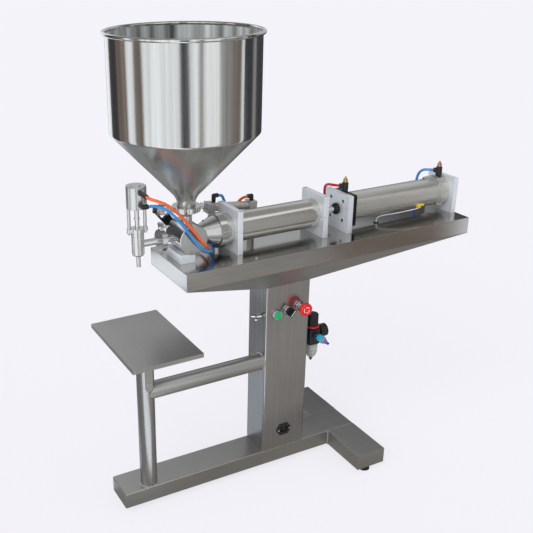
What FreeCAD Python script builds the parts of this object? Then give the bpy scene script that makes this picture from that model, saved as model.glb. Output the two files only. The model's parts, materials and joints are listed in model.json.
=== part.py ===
import FreeCAD, Part
import math
import os
from FreeCAD import Vector

# Piston paste filling machine. Millimetres, X along the table with the nozzle at the low end,
# Y towards the back, Z up. The origin is on the floor under the middle of the whole machine.

# Driving sizes of the stand
foot_height = 20.0
sheet = 2.0
beam_width = 100.0
beam_height = 50.0
beam_wall = 2.5
half_length = 581.5
half_width = 211.0
beam_start_x = -563.5
beam_end_x = 245.5
column_x = -27.5
column_width = 150.0
column_depth = 100.0
column_top_z = 625.0
column_wall = 2.5
table_length = 970.0
table_depth = 230.0
table_thickness = 50.0
table_top_z = 748.0

# Tray stand
tray_length = 200.0
tray_width = 300.0
tray_middle_y = -46.0
tray_top_z = 557.0
tray_edge = 12.0
post_x = -478.0
post_y = -25.0
post_radius = 25.0
side_tube_z = 378.0
strap_width = 22.0
strap_bottom_z = 392.0

# Filling line: hopper, valve and both cylinders share one axis along X
axis_z = table_top_z + 62.0
valve_x = -331.0
nozzle_x = -474.0
hopper_radius = 195.0
hopper_rim_z = 1342.0
hopper_seam_z = 1095.0
hopper_cone_end_z = 911.0
hopper_neck_radius = 25.5
rim_bead = 5.0
cylinder_radius = 42.0
piston_radius = 38.0
plate_thickness = 16.0
plate_half_width = 58.0
bracket_top_z = 872.0
mount_top_z = 860.0
front_bracket_x = -204.0
rear_bracket_x = 77.0
front_mount_x = 163.0
rear_mount_x = 561.0
fill_stroke = 220.0
rod_radius = 8.0
running_gap = 0.05

# Valve drive
drum_radius = 41.0
drum_half_length = 45.0
plug_radius = 26.0
port_radius = 12.0
lever_arm = 52.0
lever_y = 78.0
actuator_tilt = 6.0

# Controls, air unit and cords
control_zs = [536.0, 541.0, 547.0]
control_pitch = 40.0
regulator_x = 84.5
regulator_y = -18.0
port_z = 427.0
tube_diameter = 8.0
wire_diameter = 3.0

beam_top_z = foot_height + beam_height
table_bottom_z = table_top_z - table_thickness
table_end_x = half_length
table_start_x = half_length - table_length
column_left_x = column_x - column_width / 2
column_right_x = column_x + column_width / 2
column_front_y = -column_depth / 2
column_back_y = column_depth / 2
X = Vector(1, 0, 0)
Y = Vector(0, 1, 0)
Z = Vector(0, 0, 1)


def box(x0, x1, y0, y1, z0, z1):
    return Part.makeBox(x1 - x0, y1 - y0, z1 - z0, Vector(x0, y0, z0))


def rod(start, axis, radius, length):
    return Part.makeCylinder(radius, length, Vector(*start), axis)


def taper(start, axis, radius0, radius1, length):
    return Part.makeCone(radius0, radius1, length, Vector(*start), axis)


def sleeve(start, axis, outer, inner, length):
    return rod(start, axis, outer, length).cut(rod(start, axis, inner, length))


def prism(points, direction):
    corners = [Vector(*p) for p in points]
    return Part.Face(Part.makePolygon(corners + corners[:1])).extrude(direction)


def hexagon(centre, axis, across, length):
    radius = across / math.sqrt(3)
    side = Vector(0, 0, 1) if abs(axis.z) < 0.9 else Vector(1, 0, 0)
    other = axis.cross(side)
    points = []
    for step in range(6):
        angle = math.radians(60 * step)
        corner = Vector(*centre) + side * (radius * math.cos(angle)) + other * (radius * math.sin(angle))
        points.append((corner.x, corner.y, corner.z))
    return prism(points, axis * length)


def fuse(shapes):
    return shapes[0].multiFuse(shapes[1:]).removeSplitter()


def cut(shape, tools):
    for tool in tools:
        shape = shape.cut(tool)
    return shape


def rounded(shape, radius, test):
    edges = [edge for edge in shape.Edges if test(edge)]
    return shape.makeFillet(radius, edges)


def along(edge, axis):
    if len(edge.Vertexes) < 2:
        return False
    run = edge.Vertexes[1].Point - edge.Vertexes[0].Point
    return run.Length > 0.1 and abs(run.normalize().dot(axis)) > 0.999


def spin(points, centre):
    ring = [Vector(centre[0] + r, centre[1], z) for r, z in points]
    face = Part.Face(Part.makePolygon(ring + ring[:1]))
    return face.revolve(Vector(centre[0], centre[1], 0), Z, 360)


def placed(shape, origin, axis, side):
    # local Z goes to axis and local X goes to side
    third = axis.cross(side)
    matrix = FreeCAD.Matrix(side.x, third.x, axis.x, origin[0],
                            side.y, third.y, axis.y, origin[1],
                            side.z, third.z, axis.z, origin[2],
                            0, 0, 0, 1)
    moved = shape.copy()
    moved.transformShape(matrix)
    return moved


def save(node, solids):
    count = sum(len(solid.Solids) for solid in solids)
    good = all(solid.isValid() for solid in solids)
    shape = solids[0] if len(solids) == 1 else Part.makeCompound(solids)
    shape.exportStep("parts/" + node + ".step")
    size = shape.BoundBox
    print(node, "solids", count, "valid", good, "volume", round(shape.Volume / 1000, 1), "cm3",
          [round(v, 1) for v in (size.XMin, size.XMax, size.YMin, size.YMax, size.ZMin, size.ZMax)])


os.makedirs("parts", exist_ok=True)


# Stand: a long floor beam and two cross feet, folded from sheet and welded
foot_stem_radius = 6.0
foot_places = [(-515.0, 0.0), (190.0, -186.0), (190.0, 186.0)]


def hollow_beam(x0, x1, y0, y1, open_side):
    low = [x0 + beam_wall, y0 + beam_wall]
    high = [x1 - beam_wall, y1 - beam_wall]
    if open_side == "front":
        low[1] = y0 - 1
    if open_side == "back":
        high[1] = y1 + 1
    shell = box(x0, x1, y0, y1, foot_height, beam_top_z)
    inside = box(low[0], high[0], low[1], high[1], foot_height + beam_wall, beam_top_z - beam_wall)
    return shell.cut(inside)


def with_foot_holes(beam):
    holes = [rod((x, y, foot_height - 1), Z, foot_stem_radius + 0.3, beam_wall + 2) for x, y in foot_places]
    return cut(beam, holes)


cross_start_x = beam_end_x - beam_width
save("floor_beam", [with_foot_holes(hollow_beam(beam_start_x, beam_end_x, -beam_width / 2, beam_width / 2, ""))])
save("cross_feet", [
    with_foot_holes(hollow_beam(cross_start_x, beam_end_x, -half_width, -beam_width / 2, "back")),
    with_foot_holes(hollow_beam(cross_start_x, beam_end_x, beam_width / 2, half_width, "front")),
])


def levelling_foot(x, y):
    pad = taper((x, y, 0), Z, 18, 16, 10)
    stem = rod((x, y, 9), Z, foot_stem_radius, 40)
    nut = hexagon((x, y, foot_height - 9), Z, 19, 9)
    return fuse([pad, stem, nut])


save("levelling_feet", [levelling_foot(x, y) for x, y in foot_places])


# Column: a rectangular tube with cut-outs for controls, air, mains inlet and a rear cover
inlet_z = 131.0
inlet_screw_pitch = 40.0
cover_bottom_z = 110.0
cover_top_z = 600.0
cover_half_width = 60.0
wing_bolt_y = -23.0
wing_bolt_z = 527.0
control_xs = [column_x - control_pitch, column_x, column_x + control_pitch]


def column():
    outer = box(column_left_x, column_right_x, column_front_y, column_back_y, beam_top_z, column_top_z)
    inner = box(column_left_x + column_wall, column_right_x - column_wall, column_front_y + column_wall,
                column_back_y - column_wall, beam_top_z - 1, column_top_z + 1)
    tube = outer.cut(inner)
    tools = []
    for x, z in zip(control_xs, control_zs):
        tools.append(rod((x, column_front_y - 1, z), Y, 11.2, column_wall + 2))
    tools.append(box(column_x - 14.2, column_x + 14.2, column_front_y - 1, column_front_y + column_wall + 1,
                     inlet_z - 12.2, inlet_z + 12.2))
    for side in (-1, 1):
        tools.append(rod((column_x + side * inlet_screw_pitch / 2, column_front_y - 1, inlet_z), Y, 1.7, 5))
    tools.append(box(column_x - 48, column_x + 48, column_back_y - column_wall - 1, column_back_y + 1,
                     cover_bottom_z + 12, cover_top_z - 12))
    tools.append(rod((column_left_x - 1, wing_bolt_y, wing_bolt_z), X, 3.3, column_wall + 2))
    tools.append(rod((column_right_x - column_wall - 1, regulator_y, port_z), X, 7, column_wall + 2))
    for x in (column_x - cover_half_width + 6, column_x + cover_half_width - 6):
        for z in (cover_bottom_z + 6, cover_top_z - 6):
            tools.append(rod((x, column_back_y - column_wall - 1, z), Y, 2.2, column_wall + 2))
    return cut(tube, tools)


def back_cover():
    plate = box(column_x - cover_half_width, column_x + cover_half_width, column_back_y, column_back_y + 1.5,
                cover_bottom_z, cover_top_z)
    plate = rounded(plate, 5, lambda edge: along(edge, Y))
    tools = []
    for x in (column_x - cover_half_width + 6, column_x + cover_half_width - 6):
        for z in (cover_bottom_z + 6, cover_top_z - 6):
            tools.append(rod((x, column_back_y - 1, z), Y, 2.1, 4))
    for step in range(5):
        z = 180 + 14 * step
        tools.append(box(column_x - 30, column_x + 30, column_back_y - 1, column_back_y + 3, z, z + 4))
    return cut(plate, tools)


save("column", [column()])
save("column_back_cover", [back_cover()])


# Table: a folded tray on a tapered underbody that runs down to the column
grommet_radius = 6.0
cord_holes = {
    "nozzle_upper": (-270.0, 97.0),
    "nozzle_lower": (-246.0, 92.0),
    "valve_front": (-150.0, 102.0),
    "valve_rear": (-130.0, 102.0),
    "drive_front": (182.0, 84.0),
    "drive_rear": (518.0, 62.0),
    "sensor": (300.0, -18.0),
}
plate_screw_ys = (-34.0, 34.0)
block_start_x = -370.5
block_end_x = -327.5
actuator_start = 146.0
actuator_length = 160.0
tilt = math.radians(actuator_tilt)
line_along = Vector(math.cos(tilt), 0, -math.sin(tilt))
line_up = Vector(math.sin(tilt), 0, math.cos(tilt))
pivot = Vector(valve_x, 0, axis_z)
pin_rest = pivot + line_up * lever_arm - line_along * lever_arm
bracket_distances = (actuator_start + 18, actuator_start + actuator_length - 12)
bracket_foot_xs = [pin_rest.x + line_along.x * distance + 11 for distance in bracket_distances]
spare_screw_x = -168.0
spare_screw_y = -97.0
plate_xs = [front_bracket_x, rear_bracket_x, front_mount_x, rear_mount_x]


def table():
    outer = box(table_start_x, table_end_x, -table_depth / 2, table_depth / 2, table_bottom_z, table_top_z)
    inner = box(table_start_x + sheet, table_end_x - sheet, -table_depth / 2 + sheet, table_depth / 2 - sheet,
                table_bottom_z - 1, table_top_z - sheet)
    tools = [inner]
    for x, y in cord_holes.values():
        tools.append(rod((x, y, table_top_z - 10), Z, grommet_radius, 20))
    tools.append(rod((spare_screw_x, spare_screw_y, table_top_z - 10), Z, 2.6, 20))
    for y in (-30, 30):
        tools.append(rod((block_start_x + 12, y, table_top_z - 10), Z, 3.3, 20))
    for x in bracket_foot_xs:
        tools.append(rod((x, lever_y, table_top_z - 10), Z, 2.6, 20))
    for x in plate_xs:
        for y in plate_screw_ys:
            tools.append(rod((x + plate_thickness / 2, y, table_top_z - 10), Z, 3.3, 20))
    return cut(outer, tools)


def rectangle(x0, x1, y0, y1, z):
    corners = [Vector(x0, y0, z), Vector(x1, y0, z), Vector(x1, y1, z), Vector(x0, y1, z)]
    return Part.makePolygon(corners + corners[:1])


def frustum(inset, z_low, z_high):
    top = rectangle(table_start_x + inset, table_end_x - inset, -table_depth / 2 + inset,
                    table_depth / 2 - inset, z_high)
    low = rectangle(column_left_x + inset, column_right_x - inset, column_front_y + inset,
                    column_back_y - inset, z_low)
    return Part.makeLoft([low, top], True, True)


save("table_top", [table()])
save("table_underbody", [frustum(0, column_top_z, table_bottom_z).cut(frustum(3, column_top_z, table_bottom_z))])


# Tray stand: a round post on the beam, held to the column by a side tube
def tray_stand():
    tray_bottom_z = tray_top_z - tray_edge
    post = rod((post_x, post_y, beam_top_z), Z, post_radius, tray_bottom_z - beam_top_z)
    side = rod((post_x, post_y, side_tube_z), X, post_radius, column_left_x - post_x)
    bore = rod((post_x, post_y, beam_top_z - 1), Z, post_radius - sheet, tray_bottom_z - beam_top_z + 2)
    side_bore = rod((post_x, post_y, side_tube_z), X, post_radius - sheet, column_left_x - post_x + 1)
    hole = rod((post_x, post_y - post_radius - 3, strap_bottom_z + 22), Y, 3.2, 10)
    return cut(fuse([post, side]), [bore, side_bore, hole])


def tray():
    x0 = post_x - 3.5 - tray_length / 2
    y0 = tray_middle_y - tray_width / 2
    outer = box(x0, x0 + tray_length, y0, y0 + tray_width, tray_top_z - tray_edge, tray_top_z)
    inner = box(x0 + sheet, x0 + tray_length - sheet, y0 + sheet, y0 + tray_width - sheet,
                tray_top_z - tray_edge - 1, tray_top_z - sheet)
    crossbar = box(x0 + sheet, x0 + tray_length - sheet, post_y - 32, post_y + 32,
                   tray_top_z - tray_edge, tray_top_z - sheet)
    front = post_y - post_radius
    tongue = box(post_x - strap_width / 2, post_x + strap_width / 2, front - 3, front,
                 strap_bottom_z + strap_width / 2, tray_top_z - tray_edge + 1)
    end = rod((post_x, front - 3, strap_bottom_z + strap_width / 2), Y, strap_width / 2, 3)
    hole = rod((post_x, front - 4, strap_bottom_z + 22), Y, 3.2, 5)
    return fuse([outer.cut(inner), crossbar, tongue, end]).cut(hole)


save("tray_stand", [tray_stand()])
save("tray_plate", [tray()])


# Mains inlet: a flanged socket with three pins, held by two screws
def power_inlet():
    front = column_front_y
    half = inlet_screw_pitch / 2
    outline = [(column_x - 14, inlet_z + 19), (column_x + 14, inlet_z + 19), (column_x + half + 5, inlet_z + 5),
               (column_x + half + 5, inlet_z - 5), (column_x + 14, inlet_z - 19), (column_x - 14, inlet_z - 19),
               (column_x - half - 5, inlet_z - 5), (column_x - half - 5, inlet_z + 5)]
    flange = prism([(x, front - 3, z) for x, z in outline], Vector(0, 3, 0))
    barrel = box(column_x - 14, column_x + 14, front - 3, front + 24, inlet_z - 12, inlet_z + 12)
    recess = box(column_x - 12, column_x + 12, front - 4, front + 13, inlet_z - 9, inlet_z + 9)
    island = box(column_x - 8, column_x + 8, front - 1, front + 14, inlet_z - 5.5, inlet_z + 5.5)
    holes = [rod((column_x + side * half, front - 4, inlet_z), Y, 1.7, 6) for side in (-1, 1)]
    return fuse([cut(fuse([flange, barrel]), [recess] + holes), island])


save("power_inlet", [power_inlet()])


# Controls: start button, mode selector and emergency stop in three bezels of one family,
# mounted in a line that rises to the right
bezel_proud = 9.0
bezel_front_y = column_front_y - bezel_proud
start_cap_radius = 11.8


def bezel(x, z):
    front = taper((x, bezel_front_y, z), Y, 13.5, 14.8, bezel_proud)
    neck = rod((x, column_front_y, z), Y, 11.0, 12)
    nut = hexagon((x, column_front_y + column_wall, z), Y, 26, 5)
    bore = rod((x, bezel_front_y - 1, z), Y, 9.5, 40)
    return fuse([front, neck, nut]).cut(bore)


def start_button():
    x = control_xs[0]
    z = control_zs[0]
    cap = rod((x, bezel_front_y - 2, z), Y, start_cap_radius, 5)
    stem = rod((x, bezel_front_y + 2, z), Y, 4, 16)
    return rounded(fuse([cap, stem]), 1.0, lambda e: abs(e.BoundBox.YMax - bezel_front_y + 2) < 0.01)


def selector_knob():
    x = control_xs[1]
    z = control_zs[1]
    base = rod((x, bezel_front_y - 4, z), Y, 9.5 - running_gap, 9)
    skirt = rod((x, bezel_front_y - 8, z), Y, 12.5, 7)
    handle = box(x - 4, x + 4, bezel_front_y - 20, bezel_front_y - 5, z - 12.5, z + 12.5)
    turn = (Vector(x, 0, z), Y, 40)
    handle.rotate(*turn)
    stem = rod((x, bezel_front_y + 4, z), Y, 4, 13)
    return fuse([base, skirt, handle, stem])


stop_x = control_xs[2]
stop_z = control_zs[2]


def stop_stem():
    return fuse([rod((stop_x, bezel_front_y - 18, stop_z), Y, 4.0, 35),
                 rod((stop_x, bezel_front_y - 2, stop_z), Y, 9.5 - running_gap, 7)])


def stop_head():
    mushroom = rod((stop_x, bezel_front_y - 30, stop_z), Y, 20, 13)
    mushroom = rounded(mushroom, 5, lambda e: abs(e.BoundBox.YMax - bezel_front_y + 30) < 0.01)
    neck = taper((stop_x, bezel_front_y - 17.5, stop_z), Y, 15, 11.5, 12)
    bore = rod((stop_x, bezel_front_y - 19, stop_z), Y, 4.1, 20)
    return fuse([mushroom, neck]).cut(bore)


bezels = [bezel(x, z) for x, z in zip(control_xs, control_zs)]
start_recess = rod((control_xs[0], bezel_front_y - 1, control_zs[0]), Y, start_cap_radius + running_gap, 9)
bezels[0] = bezels[0].cut(start_recess)
save("control_bezels", bezels)
save("start_button", [start_button()])
save("selector_knob", [selector_knob()])
save("estop_stem", [stop_stem()])
save("estop_head", [stop_head()])


# Control gear inside the column: contact blocks, a rail with solenoid valves, a relay unit
def control_gear():
    solids = []
    for x, z in zip(control_xs, control_zs):
        block = box(x - 14, x + 14, column_front_y + 7.5, column_front_y + 48, z - 20, z + 20)
        solids.append(block.cut(rod((x, column_front_y, z), Y, 11.3, 14)))
    rail_x = column_left_x + column_wall
    rail = box(rail_x, rail_x + 3, -35, 30, 270, 540)
    solids.append(cut(rail, [rod((rail_x - 1, wing_bolt_y, wing_bolt_z), X, 2.6, 6)]))
    manifold = box(rail_x + 3, rail_x + 28, -30, 30, 400, 480)
    solids.append(manifold)
    for step in range(3):
        z = 403 + 26 * step
        solids.append(box(rail_x + 28, rail_x + 62, -28, 28, z, z + 22))
    solids.append(box(rail_x + 3, rail_x + 63, -32, 28, 285, 375))
    return solids


save("control_gear", control_gear())


# Wing bolt that holds the gear rail from outside
def wing_pair(hub_radius, hub_height, reach, thickness):
    # local frame: hub along Z from 0, wings along X
    wing_root = hub_radius * 0.4
    outline = [(wing_root, 0, hub_height * 0.25), (hub_radius + 1, 0, hub_height * 0.1),
               (reach - 1, 0, hub_height * 0.9), (reach, 0, hub_height * 1.5),
               (reach - 3, 0, hub_height * 1.75), (reach - 6, 0, hub_height * 1.6),
               (wing_root, 0, hub_height * 0.9)]
    right = prism([(x, -thickness / 2, z) for x, y, z in outline], Vector(0, thickness, 0))
    left = prism([(-x, -thickness / 2, z) for x, y, z in outline], Vector(0, thickness, 0))
    hub = taper((0, 0, 0), Z, hub_radius, hub_radius * 0.75, hub_height)
    return fuse([hub, right, left])


def wing_bolt():
    local = fuse([wing_pair(8, 15, 17, 3.5), rod((0, 0, -20), Z, 2.5, 21), rod((0, 0, -3), Z, 5, 4)])
    side = Vector(0, 1, 0)
    return placed(local, (column_left_x - 3.3, wing_bolt_y, wing_bolt_z), -X, side)


save("wing_bolt", [wing_bolt()])


# Hopper: a rolled sheet shell with a beaded rim, welded to a cone with a short neck and a ferrule
hopper_sheet = 1.6
ferrule_radius = 32.0
hopper_joint_z = 889.0
gasket = 1.0


def hopper_shell():
    r = hopper_radius
    t = hopper_sheet
    shell = sleeve((valve_x, 0, hopper_seam_z), Z, r, r - t, hopper_rim_z - hopper_seam_z)
    bead = Part.makeTorus(r + 3, rim_bead, Vector(valve_x, 0, hopper_rim_z), Z)
    return fuse([shell, bead])


def hopper_cone():
    r = hopper_radius
    neck = hopper_neck_radius
    t = hopper_sheet
    low = hopper_joint_z + gasket / 2
    outline = [(r, hopper_seam_z), (neck, hopper_cone_end_z), (neck, low + 3),
               (ferrule_radius, low + 3), (ferrule_radius, low), (neck - t, low),
               (neck - t, hopper_cone_end_z + 0.6), (r - t, hopper_seam_z)]
    return spin(outline, (valve_x, 0))


save("hopper", [hopper_shell()])
save("hopper_cone", [hopper_cone()])


# Valve: a drum on a saddle block, with a T bored plug that turns a quarter turn
cover = 6.0
stem_radius = 10.0
nozzle_joint_x = -406.0
nozzle_ferrule = 25.2
cylinder_joint_x = -236.5
cylinder_ferrule = 44.5


def valve_block():
    block = box(block_start_x, block_end_x, -45, 45, table_top_z, 773)
    saddle = rod((valve_x, -46, axis_z), Y, drum_radius, 92)
    tools = [saddle]
    for y in (-30, 30):
        tools.append(rod((block_start_x + 12, y, table_top_z - 1), Z, 3.3, 16))
    return cut(block, tools)


def valve_body():
    half = drum_half_length
    drum = rod((valve_x, -half, axis_z), Y, drum_radius, 2 * half)
    drum = drum.makeChamfer(1.5, [e for e in drum.Edges if abs(e.BoundBox.YMax + half) < 0.01])
    gland = rod((valve_x, half - 1, axis_z), Y, 18, 16)
    top = hopper_joint_z - gasket / 2
    neck = rod((valve_x, 0, axis_z + 30), Z, 15, top - 10 - axis_z - 30)
    flange = fuse([taper((valve_x, 0, top - 20), Z, 15, hopper_neck_radius, 10),
                   rod((valve_x, 0, top - 10), Z, hopper_neck_radius, 10)])
    lip = rod((valve_x, 0, top - 3), Z, ferrule_radius, 3)
    left = nozzle_joint_x + gasket / 2
    pipe = rod((left, 0, axis_z), X, 9.5, valve_x - 30 - left)
    pipe_lip = rod((left, 0, axis_z), X, nozzle_ferrule, 3)
    right = cylinder_joint_x - gasket / 2
    cone = taper((valve_x + 41, 0, axis_z), X, 26, cylinder_radius, right - 8 - valve_x - 41)
    root = rod((valve_x + 20, 0, axis_z), X, 26, 22)
    cuff = rod((right - 9, 0, axis_z), X, cylinder_radius, 9)
    cone_lip = rod((right - 3, 0, axis_z), X, cylinder_ferrule, 3)
    body = fuse([drum, gland, neck, flange, lip, pipe, pipe_lip, cone, root, cuff, cone_lip])
    bores = [rod((valve_x, -half + cover, axis_z), Y, plug_radius + running_gap, 2 * (half - cover)),
             rod((valve_x, half - cover - 1, axis_z), Y, stem_radius + running_gap, 40),
             rod((valve_x, 0, axis_z), Z, port_radius, 90),
             taper((valve_x, 0, top - 14), Z, port_radius, 20, 15),
             rod((left - 1, 0, axis_z), X, 7.5, valve_x - left),
             rod((valve_x, 0, axis_z), X, port_radius, 60),
             taper((valve_x + 41, 0, axis_z), X, port_radius, piston_radius, right - valve_x - 49),
             rod((right - 8.5, 0, axis_z), X, piston_radius, 10)]
    return cut(body, bores)


def valve_plug():
    half = drum_half_length - cover - 0.3
    core = rod((valve_x, -half, axis_z), Y, plug_radius, 2 * half)
    stem = rod((valve_x, half - 1, axis_z), Y, stem_radius, 87 - half)
    arms = [rod((valve_x, 0, axis_z - 40), Z, port_radius, 80), rod((valve_x, 0, axis_z), X, port_radius, 40)]
    return cut(fuse([core, stem]), arms)


lever_thickness = 9.0
slot_half = 8.4
pin_radius = 4.0
swing_radius = lever_arm * math.sqrt(2)


def valve_lever():
    # local frame: Z along the stem, X along the lever
    half = lever_thickness / 2
    hub = rod((0, 0, -half), Z, 17, lever_thickness)
    width = slot_half + 5.5
    near = lever_arm - pin_radius - 1.5
    far = swing_radius + pin_radius + 1.5
    arm = prism([(0, -14, -half), (near, -width, -half), (far + 3, -width, -half), (far + 5, 0, -half),
                 (far + 3, width, -half), (near, width, -half), (0, 14, -half)], Z * lever_thickness)
    slot = box(near, far, -slot_half, slot_half, -half - 1, half + 1)
    bore = rod((0, 0, -half - 1), Z, stem_radius, lever_thickness + 2)
    local = cut(fuse([hub, arm]), [slot, bore])
    direction = (pin_rest - pivot).normalize()
    return placed(local, (valve_x, lever_y, axis_z), Y, direction)


save("valve_block", [valve_block()])
save("valve_body", [valve_body()])
save("valve_plug", [valve_plug()])
save("valve_lever", [valve_lever()])


# Valve actuator: a small air cylinder with a fork and a pin in the slot of the lever
actuator_cap = 24.0
actuator_bore = 10.0
fork_reach = 27.0


def on_line(distance, shift=0.0):
    point = pin_rest + line_along * distance + line_up * shift
    return (point.x, lever_y, point.z)


elbow_front = on_line(actuator_start + 24, 15)
elbow_rear = on_line(actuator_start + actuator_length - 12, 15)


def actuator_cylinder():
    # local frame: Z along the line of the rod, X up
    cap = box(-15, 15, -15, 15, 0, actuator_cap)
    cap = rounded(cap, 3, lambda edge: along(edge, Z))
    rear = cap.copy()
    rear.translate(Vector(0, 0, actuator_length - actuator_cap))
    barrel = rod((0, 0, actuator_cap - 1), Z, 12.5, actuator_length - 2 * actuator_cap + 2)
    nose = rod((0, 0, -4), Z, 9, 5)
    bores = [rod((0, 0, 15), Z, actuator_bore + running_gap, actuator_length - 30),
             rod((0, 0, -7), Z, 4 + running_gap, 24)]
    local = cut(fuse([cap, rear, barrel, nose]), bores)
    body = placed(local, on_line(actuator_start), line_along, line_up)
    tools = []
    for foot in (elbow_front, elbow_rear):
        tools.append(rod((foot[0], foot[1], foot[2] - 4), Z, 4, 12))
        tools.append(hexagon(foot, Z, 11, 6))
    return cut(body, tools)


def actuator_bracket(distance):
    x = on_line(distance)[0]
    z = on_line(distance)[2]
    body = box(x - 4, x + 4, lever_y - 14, lever_y + 14, table_top_z, z - 10)
    foot = box(x - 4, x + 18, lever_y - 14, lever_y + 14, table_top_z, table_top_z + 5)
    under = placed(box(-15.0, 15, -20, 20, -60, 60), on_line(distance), line_along, line_up)
    hole = rod((x + 11, lever_y, table_top_z - 1), Z, 2.7, 8)
    return cut(fuse([body, foot]), [under, hole])


def actuator_rod():
    # local frame: Z along the line of the rod, X up, origin on the pin
    prongs = box(-11, 11, -15, 15, -11, fork_reach + 9)
    gap = box(-12, 12, -5.2, 5.2, -12, fork_reach).fuse(box(-12, -5.5, -5.2, 5.2, -12, fork_reach + 10))
    pin = rod((0, -19, 0), Y, pin_radius, 38)
    shank = rod((0, 0, fork_reach + 8), Z, 4, actuator_start + 24 - fork_reach - 8)
    piston = rod((0, 0, actuator_start + 16), Z, actuator_bore, 8)
    local = fuse([prongs.cut(gap), pin, shank, piston])
    return placed(local, on_line(0), line_along, line_up)


save("actuator_cylinder", [actuator_cylinder()] + [actuator_bracket(d) for d in bracket_distances])
save("actuator_rod", [actuator_rod()])


# Material cylinder, clamped in two split brackets, with its piston and the long rod
cylinder_start_x = cylinder_joint_x + gasket / 2
cylinder_end_x = rear_bracket_x + plate_thickness
piston_start_x = -215.0
piston_length = 40.0
air_piston_x = 212.0
seal_depth = 3.0


def material_cylinder():
    tube = rod((cylinder_start_x, 0, axis_z), X, cylinder_radius, cylinder_end_x - cylinder_start_x)
    lip = rod((cylinder_start_x, 0, axis_z), X, cylinder_ferrule, 3)
    bore = rod((cylinder_start_x - 1, 0, axis_z), X, piston_radius,
               cylinder_end_x - cylinder_start_x - 5)
    hole = rod((cylinder_end_x - 10, 0, axis_z), X, rod_radius + 1, 20)
    return cut(fuse([tube, lip]), [bore, hole])


def material_piston():
    core = rod((piston_start_x, 0, axis_z), X, piston_radius - running_gap, piston_length)
    grooves = []
    seals = []
    for offset in (7, 27):
        x = piston_start_x + offset
        outer = piston_radius - running_gap
        grooves.append(sleeve((x, 0, axis_z), X, outer + 1, outer - seal_depth, 6))
        seals.append(sleeve((x, 0, axis_z), X, outer, outer - seal_depth, 6))
    socket = rod((piston_start_x + piston_length - 14, 0, axis_z), X, rod_radius, 15)
    return [cut(core, grooves + [socket])] + seals


def drive_rod():
    start = piston_start_x + piston_length - 14
    shaft = rod((start, 0, axis_z), X, rod_radius, air_piston_x - start)
    piston = rod((air_piston_x - 1, 0, axis_z), X, piston_radius - running_gap, 20)
    return fuse([shaft, piston])


save("material_cylinder", [material_cylinder()])
save("material_piston", material_piston())
save("drive_rod", [drive_rod()])


# Plates on the table: two split brackets for the material cylinder, two mounts for the air cylinder
split_gap = 0.8
bracket_screw_y = 50.0
screw_radius = 3.0
head_radius = 5.2
mount_screw = 29.0


def bracket(x0, upper):
    z0 = axis_z + split_gap / 2 if upper else table_top_z
    z1 = bracket_top_z if upper else axis_z - split_gap / 2
    block = box(x0, x0 + plate_thickness, -plate_half_width, plate_half_width, z0, z1)
    middle = x0 + plate_thickness / 2
    tools = [rod((x0 - 1, 0, axis_z), X, cylinder_radius, plate_thickness + 2)]
    for side in (-1, 1):
        y = side * bracket_screw_y
        if upper:
            tools.append(rod((middle, y, z0 - 1), Z, screw_radius + 0.3, 80))
            tools.append(rod((middle, y, bracket_top_z - 7), Z, head_radius + 0.3, 10))
        else:
            tools.append(rod((middle, y, axis_z - 22), Z, screw_radius, 30))
    if not upper:
        for y in plate_screw_ys:
            tools.append(rod((middle, y, table_top_z - 1), Z, screw_radius, 17))
    return cut(block, tools)


def mount_plate(x0, centre_hole):
    block = box(x0, x0 + plate_thickness, -plate_half_width, plate_half_width, table_top_z, mount_top_z)
    block = block.makeChamfer(1.0, [e for e in block.Edges if abs(e.BoundBox.ZMin - mount_top_z) < 0.01])
    tools = []
    if centre_hole:
        tools.append(rod((x0 - 1, 0, axis_z), X, 16, plate_thickness + 2))
    head_x = x0 - 1 if centre_hole else x0 + plate_thickness - 6
    for y in (-mount_screw, mount_screw):
        for z in (axis_z - mount_screw, axis_z + mount_screw):
            tools.append(rod((x0 - 1, y, z), X, 3.3, plate_thickness + 2))
            tools.append(rod((head_x, y, z), X, 5.3, 7))
    for y in plate_screw_ys:
        tools.append(rod((x0 + plate_thickness / 2, y, table_top_z - 1), Z, screw_radius, 17))
    return cut(block, tools)


save("bracket_bases", [bracket(front_bracket_x, False), bracket(rear_bracket_x, False)])
save("bracket_caps", [bracket(front_bracket_x, True), bracket(rear_bracket_x, True)])
save("mount_plates", [mount_plate(front_mount_x, True), mount_plate(rear_mount_x, False)])


# Air cylinder: grooved barrel between a square front cap and a round rear cap
cap_start_x = front_mount_x + plate_thickness
cap_end_x = 199.0
ring_start_x = 520.0
ring_end_x = 535.0
cap_half = 47.5
groove_angles = (43, -12, -35, 137, 192, 215)
groove_width = 5.0
groove_depth = 2.2
nose_start_x = 151.0


def air_barrel():
    tube = rod((cap_end_x, 0, axis_z), X, cylinder_radius, ring_start_x - cap_end_x)
    tools = [rod((cap_end_x - 1, 0, axis_z), X, piston_radius, ring_start_x - cap_end_x + 2)]
    for angle in groove_angles:
        slot = box(cap_end_x - 1, ring_start_x + 1, -cylinder_radius - 2, -cylinder_radius + groove_depth,
                   axis_z - groove_width / 2, axis_z + groove_width / 2)
        slot.rotate(Vector(0, 0, axis_z), X, -angle)
        tools.append(slot)
    return cut(tube, tools)


def front_cap():
    block = box(cap_start_x, cap_end_x, -cap_half, cap_half, axis_z - cap_half, axis_z + cap_half)
    block = rounded(block, 7, lambda edge: along(edge, X))
    tools = [rod((cap_start_x - 1, 0, axis_z), X, rod_radius + running_gap, 30),
             rod((cap_start_x + 10, 0, axis_z + cap_half - 9), Z, 4, 12)]
    for y in (-mount_screw, mount_screw):
        for z in (axis_z - mount_screw, axis_z + mount_screw):
            tools.append(rod((cap_start_x - 1, y, z), X, screw_radius, 15))
    return cut(block, tools)


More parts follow.
